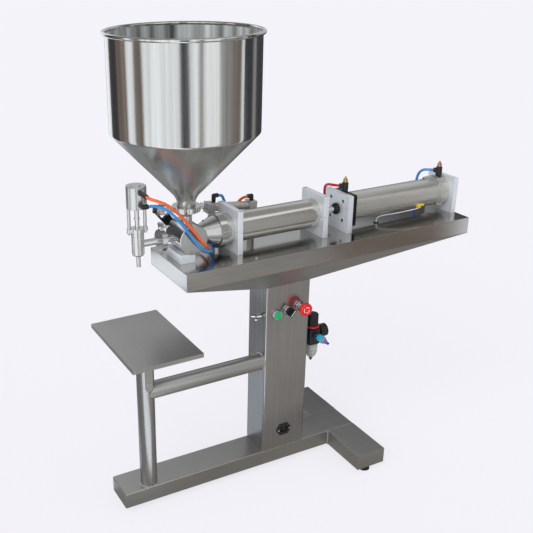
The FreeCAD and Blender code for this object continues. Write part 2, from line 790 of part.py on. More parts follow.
def nose_nut():
    spigot = rod((nose_start_x + 6, 0, axis_z), X, 16, cap_start_x - nose_start_x - 6)
    nut = taper((nose_start_x, 0, axis_z), X, 12.5, 17, 5)
    collar = rod((nose_start_x + 5, 0, axis_z), X, 17, front_mount_x - nose_start_x - 5)
    bore = rod((nose_start_x - 1, 0, axis_z), X, rod_radius + running_gap, 40)
    return fuse([spigot, nut, collar]).cut(bore)


def rear_ring():
    ring = rod((ring_start_x, 0, axis_z), X, 49, ring_end_x - ring_start_x)
    tools = [rod((ring_start_x - 1, 0, axis_z), X, piston_radius, 6)]
    for step in range(4):
        angle = math.radians(45 + 90 * step)
        y = 46 * math.cos(angle)
        z = axis_z + 46 * math.sin(angle)
        ring = ring.fuse(rod((ring_start_x, y, z), X, 6, ring_end_x - ring_start_x))
        tools.append(rod((ring_start_x - 1, y, z), X, 2.6, 20))
    return cut(ring.removeSplitter(), tools)


def rear_cap():
    block = rod((ring_end_x, 0, axis_z), X, 44, rear_mount_x - ring_end_x)
    tools = [rod((ring_end_x + 13, 0, axis_z + 35), Z, 4, 12)]
    for y in (-mount_screw, mount_screw):
        for z in (axis_z - mount_screw, axis_z + mount_screw):
            tools.append(rod((rear_mount_x - 14, y, z), X, screw_radius, 15))
    return cut(block, tools)


save("air_barrel", [air_barrel()])
save("cylinder_end_caps", [front_cap(), nose_nut(), rear_ring(), rear_cap()])


# Nozzle: shut-off body, tip, small air cylinder on two rods, and the needle it lifts
nozzle_body_bottom_z = 780.0
flange_bottom_z = 846.0
flange_top_z = 856.0
nozzle_cylinder_z = 912.0
nozzle_top_z = 971.0
standoff = 22.5
needle_radius = 6.0
nozzle_tip_z = 747.0
upper_fitting_z = 958.0
lower_fitting_z = 925.0


def nozzle_body():
    body = rod((nozzle_x, 0, nozzle_body_bottom_z + 4), Z, 17, flange_bottom_z - nozzle_body_bottom_z - 3)
    chin = taper((nozzle_x, 0, nozzle_body_bottom_z), Z, 14, 17, 4)
    flange = rod((nozzle_x, 0, flange_bottom_z), Z, 19, flange_top_z - flange_bottom_z)
    bar = box(nozzle_x - standoff, nozzle_x + standoff, -7, 7, flange_bottom_z, flange_top_z)
    lobes = [rod((nozzle_x + side * standoff, 0, flange_bottom_z), Z, 7, flange_top_z - flange_bottom_z)
             for side in (-1, 1)]
    right = nozzle_joint_x - gasket / 2
    pipe = rod((nozzle_x + 10, 0, axis_z), X, 9.5, right - nozzle_x - 10)
    lip = rod((right - 3, 0, axis_z), X, nozzle_ferrule, 3)
    shape = fuse([body, chin, flange, bar, pipe, lip] + lobes)
    tools = [rod((nozzle_x, 0, 792), Z, 9, 44),
             taper((nozzle_x, 0, 786), Z, 5, 9, 6),
             rod((nozzle_x, 0, nozzle_body_bottom_z - 1), Z, 5, 8),
             rod((nozzle_x, 0, 830), Z, needle_radius + running_gap, 40),
             rod((nozzle_x, 0, axis_z), X, 7.5, right - nozzle_x + 1)]
    for side in (-1, 1):
        tools.append(rod((nozzle_x + side * standoff, 0, flange_bottom_z - 1), Z, 3, 12))
    return cut(shape, tools)


def nozzle_tip():
    pipe = sleeve((nozzle_x, 0, nozzle_tip_z), Z, 6, 4, nozzle_body_bottom_z - nozzle_tip_z)
    thread = sleeve((nozzle_x, 0, nozzle_body_bottom_z - 1), Z, 5, 4, 6)
    return fuse([pipe, thread])


def nozzle_cylinder():
    body = rod((nozzle_x, 0, nozzle_cylinder_z), Z, 27, nozzle_top_z - nozzle_cylinder_z)
    edges = [e for e in body.Edges if e.BoundBox.ZLength < 0.01]
    body = body.makeChamfer(1.2, edges)
    disc = rod((nozzle_x, 0, nozzle_top_z - 0.5), Z, 13.5, 2)
    tools = [rod((nozzle_x, 0, 920), Z, 22 + running_gap, 32),
             rod((nozzle_x, 0, nozzle_cylinder_z - 1), Z, needle_radius + running_gap, 20),
             rod((nozzle_x, -29.8, upper_fitting_z), Y, 5, 7),
             rod((nozzle_x, -29.8, lower_fitting_z), Y, 5, 7),
             rod((nozzle_x, -26, lower_fitting_z), Y, 2, 8)]
    for side in (-1, 1):
        tools.append(rod((nozzle_x + side * standoff, 0, nozzle_cylinder_z - 1), Z, 3, 7))
    return cut(fuse([body, disc]), tools)


def nozzle_plunger():
    cone = taper((nozzle_x, 0, 787), Z, 5, 8, 5)
    head = rod((nozzle_x, 0, 792), Z, 8, 6)
    stem = rod((nozzle_x, 0, 797), Z, needle_radius, 128)
    piston = rod((nozzle_x, 0, 924), Z, 22, 8)
    collar = rod((nozzle_x, 0, 880), Z, 7.5, 5)
    return fuse([cone, head, stem, piston, collar])


def nozzle_pillar(side):
    x = nozzle_x + side * standoff
    pillar = rod((x, 0, flange_top_z), Z, 4.5, nozzle_cylinder_z - flange_top_z)
    ends = rod((x, 0, flange_bottom_z - 6), Z, 3, nozzle_cylinder_z - flange_bottom_z + 11)
    nut = hexagon((x, 0, flange_bottom_z - 5), Z, 9, 5)
    return fuse([pillar, ends, nut])


save("nozzle_body", [nozzle_body()])
save("nozzle_tip", [nozzle_tip()])
save("nozzle_cylinder", [nozzle_cylinder(), nozzle_pillar(-1), nozzle_pillar(1)])
save("nozzle_plunger", [nozzle_plunger()])


# Pipe clamps: two hinged half rings, an eye bolt and a wing nut that is a part of its own
nut_bore = 3.0 + running_gap
bolt_offset = 13.0


def clamp(origin, axis, side, inner, groove, outer, width):
    # local frame: ring axis along Z, bolt ears at the side
    half = width / 2
    ring = sleeve((0, 0, -half), Z, outer, inner, width)
    ring = ring.cut(rod((0, 0, -3.6), Z, groove, 7.2))
    halves = []
    third = half / 3
    hinge_x = -outer - 5
    for s in (-1, 1):
        near = 0.4 * s
        piece = ring.common(box(-outer - 1, outer + 1, min(near, s * (outer + 5)), max(near, s * (outer + 5)),
                                -half, half))
        ear = box(outer - 1.5, outer + bolt_offset + 5, min(near, 6.5 * s), max(near, 6.5 * s), -6, 6)
        spans = [(-third, third)] if s > 0 else [(-half, -third - 0.3), (third + 0.3, half)]
        knuckles = []
        for z0, z1 in spans:
            knuckles.append(rod((hinge_x, 0, z0), Z, 4.5, z1 - z0))
            knuckles.append(box(hinge_x, -outer + 2, min(near, 4.5 * s), max(near, 4.5 * s), z0, z1))
        piece = fuse([piece, ear] + knuckles)
        tools = [rod((hinge_x, 0, -half - 1), Z, 2.2, width + 2), rod((outer + bolt_offset, -9, 0), Y, 3.2, 18),
                 rod((0, 0, -3.6), Z, groove, 7.2), rod((0, 0, -half - 1), Z, inner, width + 2)]
        halves.append(cut(piece, tools))
    pin = rod((hinge_x, 0, -half - 1.5), Z, 2.2, width + 3)
    bolt_x = outer + bolt_offset
    bolt = fuse([rod((bolt_x, -8, 0), Y, 3, 33), hexagon((bolt_x, -11.5, 0), Y, 10, 5), rod((bolt_x, 6.5, 0), Y, 6, 1.5)])
    return [placed(shape, origin, axis, side) for shape in halves + [pin, bolt]]


def wing_nut(origin, axis, side, outer):
    local = wing_pair(6.5, 9, 15.5, 3).cut(rod((0, 0, -1), Z, nut_bore, 12))
    third = axis.cross(side)
    base = Vector(*origin) + side * (outer + bolt_offset) + third * 8.3
    return placed(local, (base.x, base.y, base.z), third, axis)


def turned(angle, first, second):
    return first * math.cos(math.radians(angle)) + second * math.sin(math.radians(angle))


hopper_clamp = ((valve_x, 0, hopper_joint_z), -Z, turned(176, X, Y), 26.2, 32.3, 38.5, 14)
cylinder_clamp = ((cylinder_joint_x, 0, axis_z), X, turned(-10, Y, Z), 42.3, 44.8, 48.5, 20)
nozzle_clamp = ((nozzle_joint_x, 0, axis_z), X, turned(90, Y, Z), 10.2, 25.5, 29.5, 14)
clamp_solids = []
for spec in (hopper_clamp, cylinder_clamp, nozzle_clamp):
    clamp_solids = clamp_solids + clamp(*spec)
save("pipe_clamps", clamp_solids)
save("hopper_clamp_nut", [wing_nut(*hopper_clamp[:3], hopper_clamp[5])])
save("cylinder_clamp_nut", [wing_nut(*cylinder_clamp[:3], cylinder_clamp[5])])
save("nozzle_clamp_nut", [wing_nut(*nozzle_clamp[:3], nozzle_clamp[5])])


# Air filter and pressure regulator on the right side of the column
body_half = 19.0
body_bottom_z = 394.0
body_top_z = 446.0


def regulator_body():
    block = box(regulator_x - body_half, regulator_x + body_half, regulator_y - body_half,
                regulator_y + body_half, body_bottom_z, body_top_z)
    block = rounded(block, 5, lambda edge: along(edge, Z))
    bonnet = rod((regulator_x, regulator_y, body_top_z - 1), Z, 17, 5)
    nipple = rod((column_right_x - 12, regulator_y, port_z), X, 7, regulator_x - column_right_x)
    flange = box(column_right_x, column_right_x + 3, regulator_y - 20, regulator_y + 20, port_z - 22, port_z + 22)
    port = rod((regulator_x, regulator_y - body_half - 3, port_z), Y, 9, 10)
    gauge_port = rod((regulator_x, regulator_y, port_z), X, 7, body_half + 4)
    socket = rod((regulator_x, regulator_y, body_bottom_z - 1), Z, 15 + running_gap, 11)
    way = rod((regulator_x, regulator_y - body_half - 4, port_z), Y, 4, 25)
    outlet = rod((column_right_x - 13, regulator_y, port_z), X, 4, 50)
    down = rod((regulator_x, regulator_y, body_bottom_z), Z, 4, 35)
    gauge_seat = rod((regulator_x + body_half - 2, regulator_y, port_z), X, 4.5, 8)
    shape = fuse([block, bonnet, nipple, flange, port, gauge_port])
    ring = rod((regulator_x, regulator_y, body_top_z + 4), Z, 22, 4)
    knob_stem = rod((regulator_x, regulator_y, body_top_z + 7), Z, 9, 20)
    return [cut(shape, [socket, way, outlet, down, gauge_seat]), fuse([ring, knob_stem])]


def regulator_knob():
    low = body_top_z + 8.3
    cap = rod((regulator_x, regulator_y, low), Z, 18, 38)
    cap = rounded(cap, 4, lambda e: abs(e.BoundBox.ZMin - low - 38) < 0.01)
    tools = [rod((regulator_x, regulator_y, low - 1), Z, 9 + running_gap, 22)]
    for step in range(18):
        angle = math.radians(20 * step)
        x = regulator_x + 18.6 * math.cos(angle)
        y = regulator_y + 18.6 * math.sin(angle)
        tools.append(rod((x, y, low + 3), Z, 1.5, 30))
    return cut(cap, tools)


def filter_bowl():
    t = 2.5
    top = body_bottom_z - 0.3
    outer = [(0, 345), (9, 345), (15.5, 353), (19.5, 372), (19.5, top), (15, top), (15, top + 9)]
    inner = [(15 - t, top + 9), (15 - t, top - 3), (19.5 - t, top - 6), (19.5 - t, 373), (13.5, 356), (8, 348), (0, 348)]
    shell = spin(outer + inner, (regulator_x, regulator_y))
    drain = fuse([rod((regulator_x, regulator_y, 339), Z, 6, 7), rod((regulator_x, regulator_y, 333), Z, 3.5, 8)])
    return fuse([shell, drain])


gauge_x = regulator_x + body_half + 4
gauge_end_x = gauge_x + 25


def pressure_gauge():
    case = rod((gauge_x + 2, regulator_y, port_z), X, 20, gauge_end_x - gauge_x - 2)
    case = rounded(case, 2, lambda e: abs(e.BoundBox.XMax - gauge_x - 2) < 0.01)
    stem = rod((gauge_x - 6, regulator_y, port_z), X, 4.5, 9)
    dish = rod((gauge_end_x - 4, regulator_y, port_z), X, 17.5, 5)
    spindle_hole = rod((gauge_end_x - 7, regulator_y, port_z), X, 1.0 + running_gap, 5)
    return cut(fuse([case, stem]), [dish, spindle_hole])


def gauge_needle():
    spindle = rod((gauge_end_x - 6.5, regulator_y, port_z), X, 1.0, 4.6)
    hub = rod((gauge_end_x - 3.4, regulator_y, port_z), X, 2.6, 1.4)
    x = gauge_end_x - 3.2
    pointer = prism([(x, regulator_y - 1.1, port_z - 5), (x, regulator_y + 1.1, port_z - 5),
                     (x, regulator_y + 0.4, port_z + 13), (x, regulator_y - 0.4, port_z + 13)], X * 0.8)
    pointer.rotate(Vector(x, regulator_y, port_z), X, 135)
    return fuse([spindle, hub, pointer])


coupler_start = regulator_y - body_half - 3


def inlet_coupler():
    y = coupler_start
    nut = hexagon((regulator_x, y - 7, port_z), Y, 17, 7)
    body = rod((regulator_x, y - 42, port_z), Y, 8, 36)
    nose = rod((regulator_x, y - 50, port_z), Y, 7, 9)
    stop = rod((regulator_x, y - 42, port_z), Y, 9.5, 3)
    barb = rod((regulator_x, y - 63, port_z), Y, 4.2, 14)
    bore = rod((regulator_x, y - 70, port_z), Y, 2.6, 80)
    return cut(fuse([nut, body, nose, stop, barb]), [bore])


def slide_sleeve():
    y = coupler_start
    ring = sleeve((regulator_x, y - 38.5, port_z), Y, 11.5, 8 + running_gap, 21)
    edges = [e for e in ring.Edges if e.BoundBox.YLength < 0.01 and abs(e.BoundBox.XLength - 23) < 0.1]
    return ring.makeChamfer(1.2, edges)


save("regulator_body", regulator_body() + [pressure_gauge()])
save("regulator_knob", [regulator_knob()])
save("filter_bowl", [filter_bowl()])
save("gauge_needle", [gauge_needle()])
save("inlet_coupler", [inlet_coupler()])
save("slide_sleeve", [slide_sleeve()])


# Air fittings: push-in fittings for the tubes and two speed controllers with needle screws
arm_z = 874.0
diagonal = Vector(-1, 1, 0).normalize()
front_control_x = cap_start_x + 10
rear_control_x = ring_end_x + 13
tube_radius = tube_diameter / 2


def straight_fitting(z, reach):
    # screws into the side of the nozzle cylinder, facing the front
    start = -27
    body = rod((nozzle_x, -reach, z), Y, 6.5, reach + start)
    nut = hexagon((nozzle_x, start - 12, z), Y, 13, 9)
    thread = rod((nozzle_x, start - 4, z), Y, 5, 7)
    socket = rod((nozzle_x, -reach - 1, z), Y, tube_radius, 15)
    return fuse([body, nut, thread]).cut(socket)


def elbow_fitting(z, reach, out):
    start = -27
    body = rod((nozzle_x, -reach, z), Y, 6.5, reach + start)
    ball = Part.makeSphere(6.5, Vector(nozzle_x, -reach, z))
    arm = rod((nozzle_x, -reach, z), X, 6.5, out)
    thread = rod((nozzle_x, start - 4, z), Y, 5, 7)
    socket = rod((nozzle_x + out - 11, -reach, z), X, tube_radius, 20)
    return fuse([body, ball, arm, thread]).cut(socket)


def top_elbow(foot, direction, height):
    # stands on the top of the small cylinder, its arm lies along the direction
    x = foot[0]
    z = foot[2]
    thread = rod((x, lever_y, z - 4), Z, 4, 10)
    neck = hexagon((x, lever_y, z), Z, 11, 5)
    body = rod((x, lever_y, z + 4), Z, 6.2, height - 4)
    ball = Part.makeSphere(6.2, Vector(x, lever_y, z + height))
    arm = rod((x, lever_y, z + height), direction, 6.2, 13)
    socket = rod((x + direction.x * 3, lever_y, z + height), direction, tube_radius, 20)
    return fuse([thread, neck, body, ball, arm]).cut(socket)


def speed_controller(x, base_z):
    thread = rod((x, 0, base_z - 7), Z, 4, 10)
    collar = hexagon((x, 0, base_z), Z, 16, 6)
    body = rod((x, 0, base_z + 5), Z, 9.5, arm_z + 11 - base_z - 5)
    arm = rod((x, 0, arm_z), diagonal, 7.5, 17)
    socket = rod((x + diagonal.x * 5, diagonal.y * 5, arm_z), diagonal, tube_radius, 20)
    bore = rod((x, 0, arm_z - 2), Z, 3 + running_gap, 20)
    return cut(fuse([thread, collar, body, arm]), [socket, bore])


def needle_screw(x):
    stem = rod((x, 0, arm_z - 1), Z, 3, 20)
    knob = rod((x, 0, arm_z + 13), Z, 6.5, 9)
    neck = rod((x, 0, arm_z + 11.3), Z, 4.5, 3)
    tip = taper((x, 0, arm_z + 22), Z, 4, 2.6, 7)
    return fuse([stem, knob, neck, tip])


save("air_fittings", [
    straight_fitting(upper_fitting_z, 68),
    elbow_fitting(lower_fitting_z, 45, 13),
    top_elbow(elbow_front, X, 18),
    top_elbow(elbow_rear, -X, 13),
    speed_controller(front_control_x, axis_z + cap_half),
    speed_controller(rear_control_x, axis_z + 44),
])
save("needle_screw_front", [needle_screw(front_control_x)])
save("needle_screw_rear", [needle_screw(rear_control_x)])


# Position switch in the lower groove of the barrel
sensor_x = 452.0
sensor_angle = -35


def reed_sensor():
    base = -cylinder_radius + groove_depth
    clip = box(sensor_x - 4, sensor_x + 14, base - 7, base, axis_z - 2.4, axis_z + 2.4)
    block = box(sensor_x - 14, sensor_x - 4, base - 8, base, axis_z - 2.4, axis_z + 2.4)
    bump = box(sensor_x - 14, sensor_x - 4, base - 10, base - groove_depth - 0.5, axis_z - 5, axis_z + 5)
    outlet = rod((sensor_x - 6, base - 6, axis_z), -X, wire_diameter / 2, 30)
    solids = [clip, fuse([block, bump]).cut(outlet)]
    for solid in solids:
        solid.rotate(Vector(0, 0, axis_z), X, -sensor_angle)
    return solids


save("reed_sensor", reed_sensor())


# Gaskets in the pipe joints and rubber grommets where the cords pass the table
def grommet(place, bore):
    x, y = place
    flange = rod((x, y, table_top_z), Z, grommet_radius + 2, 1.6)
    neck = rod((x, y, table_top_z - sheet - 1.5), Z, grommet_radius, sheet + 2)
    return fuse([flange, neck]).cut(rod((x, y, table_top_z - 8), Z, bore, 12))


def seals():
    solids = [
        sleeve((valve_x, 0, hopper_joint_z - gasket / 2), Z, 31, 20, gasket),
        sleeve((nozzle_joint_x - gasket / 2, 0, axis_z), X, 24.5, 7.5, gasket),
        sleeve((cylinder_joint_x - gasket / 2, 0, axis_z), X, 43.5, piston_radius, gasket),
    ]
    for name, place in cord_holes.items():
        bore = wire_diameter / 2 if name == "sensor" else tube_radius
        solids.append(grommet(place, bore))
    return solids


save("seal_rings", seals())


# Screws: socket heads in the plates, flat heads under the table, small panel screws
def socket_screw(start, axis, radius, head, length, head_length=5.0):
    # head starts at the given point, the shank follows along the axis
    shank = rod(start, axis, radius, head_length + length)
    cap = rod(start, axis, head, head_length)
    key = hexagon(start, axis, head * 0.95, head_length * 0.5)
    return fuse([shank, cap]).cut(key)


def screws():
    solids = []
    for x0 in (front_bracket_x, rear_bracket_x):
        x = x0 + plate_thickness / 2
        for y in (-bracket_screw_y, bracket_screw_y):
            solids.append(socket_screw((x, y, bracket_top_z - 1.5), -Z, screw_radius, head_radius, 74))
    for x0 in plate_xs:
        x = x0 + plate_thickness / 2
        for y in plate_screw_ys:
            solids.append(socket_screw((x, y, table_top_z - sheet - 5), Z, screw_radius, head_radius, 17))
    for y in (-mount_screw, mount_screw):
        for z in (axis_z - mount_screw, axis_z + mount_screw):
            solids.append(socket_screw((front_mount_x, y, z), X, screw_radius, head_radius, 23))
            solids.append(socket_screw((rear_mount_x + plate_thickness, y, z), -X, screw_radius, head_radius, 23))
    for step in range(4):
        angle = math.radians(45 + 90 * step)
        y = 46 * math.cos(angle)
        z = axis_z + 46 * math.sin(angle)
        solids.append(socket_screw((ring_start_x - 3.5, y, z), X, 2.6, 3.8, 13, 3.5))
    front = post_y - post_radius
    solids.append(socket_screw((post_x, front - 6.5, strap_bottom_z + 22), Y, 3, 5, 9, 3.5))
    for side in (-1, 1):
        x = column_x + side * inlet_screw_pitch / 2
        solids.append(socket_screw((x, column_front_y - 5, inlet_z), Y, 1.7, 3, 7, 2))
    for x in (column_x - cover_half_width + 6, column_x + cover_half_width - 6):
        for z in (cover_bottom_z + 6, cover_top_z - 6):
            solids.append(socket_screw((x, column_back_y + 3.5, z), -Y, 2.1, 4, 6, 2))
    for y in (-30, 30):
        x = block_start_x + 12
        solids.append(socket_screw((x, y, table_top_z - sheet - 5), Z, 3, head_radius, 16))
    for x in bracket_foot_xs:
        solids.append(socket_screw((x, lever_y, table_top_z + 8), -Z, 2.5, 4.5, 8, 3))
    solids.append(socket_screw((spare_screw_x, spare_screw_y, table_top_z + 2.5), -Z, 2.5, 4.5, 5, 2.5))
    return solids


save("fasteners", screws())


# Cords: soft tubes and a thin wire, straight runs joined by tangent arcs
def route(points):
    corners = [Vector(*p) for p in points]
    edges = []
    radii = []
    last = corners[0]
    for index in range(1, len(corners) - 1):
        here = corners[index]
        back = corners[index - 1] - here
        ahead = corners[index + 1] - here
        reach = 0.45 * min(back.Length, ahead.Length)
        back.normalize()
        ahead.normalize()
        half_turn = (math.pi - back.getAngle(ahead)) / 2
        start = here + back * reach
        end = here + ahead * reach
        radius = reach / math.tan(half_turn)
        inward = (back + ahead).normalize()
        centre = here + inward * (radius / math.cos(half_turn))
        middle = centre - inward * radius
        edges.append(Part.LineSegment(last, start).toShape())
        edges.append(Part.Arc(start, middle, end).toShape())
        radii.append(round(radius, 1))
        last = end
    edges.append(Part.LineSegment(last, corners[-1]).toShape())
    return Part.Wire(edges), radii


def cord(node, points, diameter):
    wire, radii = route(points)
    first = Vector(*points[0])
    direction = (Vector(*points[1]) - first).normalize()
    section = Part.Wire(Part.makeCircle(diameter / 2, first, direction))
    shape = wire.makePipeShell([section], True, False, 2)
    ratio = shape.Volume / (math.pi * diameter ** 2 / 4 * wire.Length)
    print("cord", node, "length", round(wire.Length, 1), "arc radii", radii, "volume ratio", round(ratio, 3))
    save(node, [shape])


def down(name):
    x, y = cord_holes[name]
    return [(x, y, table_top_z + 14), (x, y, table_top_z - 10)]


cord("tube_nozzle_upper", [
    (nozzle_x, -56, upper_fitting_z), (nozzle_x, -84, upper_fitting_z), (-461, -99, 955), (-438, -101, 944),
    (-400, -92, 912.5), (-359, -78, 867), (-318, -62, 811), (-292, -50, 786), (-278, -24, 770),
    (-274, 14, 764), (-272, 46, 768), (-271, 66, 779), (-270, 86, 777)] + down("nozzle_upper"), tube_diameter)
cord("tube_nozzle_lower", [
    (nozzle_x + 3, -45, lower_fitting_z), (-450, -45, lower_fitting_z), (-430, -56, 922), (-410, -67, 909),
    (-384, -70, 879.5), (-352, -62, 836), (-320, -57, 792), (-295, -50, 773), (-268, -34, 766),
    (-254, -2, 759), (-248, 32, 761), (-247, 56, 770), (-246, 78, 770)] + down("nozzle_lower"), tube_diameter)
cord("tube_valve_front", [
    (elbow_front[0] + 4, lever_y, elbow_front[2] + 18), (elbow_front[0] + 25, lever_y, elbow_front[2] + 18),
    (-170, 88, 866), (-155, 98, 838), (-150.6, 101.4, 808), (-150, 102, 780)] + down("valve_front")[1:],
     tube_diameter)
cord("tube_valve_rear", [
    (elbow_rear[0] - 4, lever_y, elbow_rear[2] + 13), (elbow_rear[0] - 24, lever_y, elbow_rear[2] + 13),
    (-117, 91, 851), (-126, 100, 830), (-129.4, 101.6, 802), (-130, 102, 776)] + down("valve_rear")[1:],
     tube_diameter)
cord("tube_drive_front", [
    (front_control_x + diagonal.x * 6, diagonal.y * 6, arm_z),
    (front_control_x + diagonal.x * 32, diagonal.y * 32, arm_z), (161, 46, arm_z - 1),
    (166, 68, 860), (175, 80, 834), (181, 84, 802), (182, 84, 772)] + down("drive_front")[1:], tube_diameter)
cord("tube_drive_rear", [
    (rear_control_x + diagonal.x * 6, diagonal.y * 6, arm_z),
    (rear_control_x + diagonal.x * 32, diagonal.y * 32, arm_z), (514, 36, arm_z - 2),
    (511, 50, 857), (514, 59, 833), (517, 62, 804), (518, 62, 774)] + down("drive_rear")[1:], tube_diameter)
wire_points = [(449, -42.1, 780.6), (430, -43.5, 778.5), (404, -44, 778), (378, -41, 776), (352, -34, 773),
               (328, -26, 771), (309, -20, 767)] + down("sensor")
cord("sensor_wire", wire_points, wire_diameter)
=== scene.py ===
import bpy, bmesh, json, math
from mathutils import Matrix, Vector

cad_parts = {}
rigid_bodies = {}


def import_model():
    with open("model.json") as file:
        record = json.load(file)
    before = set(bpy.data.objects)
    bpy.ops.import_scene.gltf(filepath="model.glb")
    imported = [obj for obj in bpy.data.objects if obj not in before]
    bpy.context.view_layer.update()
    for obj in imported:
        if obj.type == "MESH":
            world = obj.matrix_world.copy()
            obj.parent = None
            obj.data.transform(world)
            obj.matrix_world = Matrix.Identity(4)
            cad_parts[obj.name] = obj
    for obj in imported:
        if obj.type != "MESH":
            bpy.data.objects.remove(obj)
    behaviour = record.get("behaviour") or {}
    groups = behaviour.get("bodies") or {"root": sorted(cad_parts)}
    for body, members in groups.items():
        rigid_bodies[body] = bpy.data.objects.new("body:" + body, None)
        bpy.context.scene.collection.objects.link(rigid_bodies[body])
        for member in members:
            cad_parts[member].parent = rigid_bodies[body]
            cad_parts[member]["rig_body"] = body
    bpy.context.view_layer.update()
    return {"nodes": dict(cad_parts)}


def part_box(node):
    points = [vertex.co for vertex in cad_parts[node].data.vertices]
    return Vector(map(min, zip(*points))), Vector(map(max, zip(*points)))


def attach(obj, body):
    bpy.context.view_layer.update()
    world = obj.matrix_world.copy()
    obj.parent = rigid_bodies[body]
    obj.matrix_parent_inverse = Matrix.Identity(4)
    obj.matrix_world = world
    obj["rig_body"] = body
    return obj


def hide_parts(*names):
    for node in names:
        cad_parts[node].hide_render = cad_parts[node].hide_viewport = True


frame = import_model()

# Piston paste filling machine: camera, finishes, cords, softened and added pieces, studio.
# X runs along the table, Y to the back, Z up. Widths, places and boards are in metres,
# profiles, outlines and cord routes in millimetres.

nodes = frame["nodes"]
bodyOf = {name: obj["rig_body"] for name, obj in nodes.items()}
scene = bpy.context.scene


def addObject(name, data):
    obj = bpy.data.objects.new(name, data)
    scene.collection.objects.link(obj)
    return obj


def plainMesh(obj):
    # the object's mesh with its modifiers applied
    bpy.context.view_layer.update()
    graph = bpy.context.evaluated_depsgraph_get()
    return bpy.data.meshes.new_from_object(obj.evaluated_get(graph), depsgraph=graph)


# camera

cameraLook = {
    "place": (-1.2357, -1.8455, 1.5618),
    "yaw": 26.6,        # degrees to the right of +Y
    "pitch": 22.8,      # degrees down
    "roll": -0.6,
    "lens": 54.69,
    "sensor": 36,
    "shift": (0.1370, 0.0137),
    "farthest": 200,
}


def makeCamera(look):
    yaw, pitch, roll = (math.radians(look[k]) for k in ("yaw", "pitch", "roll"))
    forward = Vector((math.sin(yaw) * math.cos(pitch), math.cos(yaw) * math.cos(pitch), -math.sin(pitch)))
    right = Vector((math.cos(yaw), -math.sin(yaw), 0))
    up = right.cross(forward)
    right, up = right * math.cos(roll) + up * math.sin(roll), up * math.cos(roll) - right * math.sin(roll)
    data = bpy.data.cameras.new("camera")
    data.lens = look["lens"]
    data.sensor_width = look["sensor"]
    data.shift_x, data.shift_y = look["shift"]
    data.clip_end = look["farthest"]
    camera = addObject("camera", data)
    axes = Matrix((right, up, -forward)).transposed()
    camera.matrix_world = Matrix.Translation(look["place"]) @ axes.to_4x4()
    scene.camera = camera


makeCamera(cameraLook)
print("camera set")


# node helpers

def clearTree(owner, outputKind):
    # empties the owner's node tree; returns it with the surface socket of its new output
    owner.use_nodes = True
    tree = owner.node_tree
    tree.nodes.clear()
    return tree, tree.nodes.new(outputKind).inputs["Surface"]


def addNode(tree, kind, inputs=None, **settings):
    # an input takes either a value or the socket that feeds it
    node = tree.nodes.new(kind)
    for key, value in settings.items():
        setattr(node, key, value)
    for key, value in (inputs or {}).items():
        if isinstance(value, bpy.types.NodeSocket):
            tree.links.new(value, node.inputs[key])
        else:
            node.inputs[key].default_value = value
    return node


def addNoise(tree, stretch, detail):
    coords = addNode(tree, "ShaderNodeTexCoord")
    mapping = addNode(tree, "ShaderNodeMapping", {"Vector": coords.outputs["Object"], "Scale": stretch})
    noise = addNode(tree, "ShaderNodeTexNoise", {
        "Vector": mapping.outputs["Vector"], "Scale": 1.0, "Detail": detail[0], "Roughness": detail[1]})
    return noise.outputs["Fac"]


noiseSpan = (0.3, 0.7)        # the part of a noise's range that the finishes use


def addTint(tree, factor, look):
    # the colour, darker at one end of the noise and lighter at the other
    ramp = addNode(tree, "ShaderNodeValToRGB", {"Fac": factor})
    for index, gain in enumerate((1 - look["spread"], 1 + look["spread"])):
        element = ramp.color_ramp.elements[index]
        element.position = noiseSpan[index]
        element.color = (*[min(1.0, c * gain) for c in look["colour"]], 1)
    return ramp.outputs["Color"]


def addRoughness(tree, factor, look):
    low, high = look["rough"]
    span = addNode(tree, "ShaderNodeMapRange", {
        "Value": factor, "From Min": noiseSpan[0], "From Max": noiseSpan[1], "To Min": low, "To Max": high})
    return span.outputs["Result"]


def addBump(tree, height, look):
    bump = addNode(tree, "ShaderNodeBump", {
        "Height": height, "Strength": look["relief"], "Distance": look["depth"]})
    return bump.outputs["Normal"]


# finishes; a noise detail is its detail and roughness, a larger grain number gives a finer grain

metalLook = {"grainDetail": (3.0, 0.65), "clouds": (5, 5, 5), "cloudDetail": (2.0, 0.5), "cloudShare": 0.45,
             "spread": 0.12, "metallic": 1.0, "relief": 0.15, "depth": 0.0004}

plasticLook = {"grain": (900, 900, 900), "grainDetail": (2.0, 0.5), "mottle": (60, 60, 60),
               "mottleDetail": (3.0, 0.6), "spread": 0.1, "gloss": 0.5, "coat": 0.0, "coatRough": 0.05,
               "milk": 0.0, "milkRadius": (0.004, 0.003, 0.002), "clear": 0.0, "relief": 0.1, "depth": 0.0003}


def makeMetal(name, look):
    # brushed, polished or machined: fine lines along the grain, faint clouds across the piece
    look = {**metalLook, **look}
    material = bpy.data.materials.new(name)
    tree, surface = clearTree(material, "ShaderNodeOutputMaterial")
    grain = addNoise(tree, look["grain"], look["grainDetail"])
    clouds = addNoise(tree, look["clouds"], look["cloudDetail"])
    mixed = addNode(tree, "ShaderNodeMix", {"Factor": look["cloudShare"], "A": grain, "B": clouds},
                    data_type="FLOAT").outputs["Result"]
    shader = addNode(tree, "ShaderNodeBsdfPrincipled", {
        "Base Color": addTint(tree, mixed, look), "Roughness": addRoughness(tree, mixed, look),
        "Metallic": look["metallic"], "Normal": addBump(tree, grain, look)})
    tree.links.new(shader.outputs["BSDF"], surface)
    return material


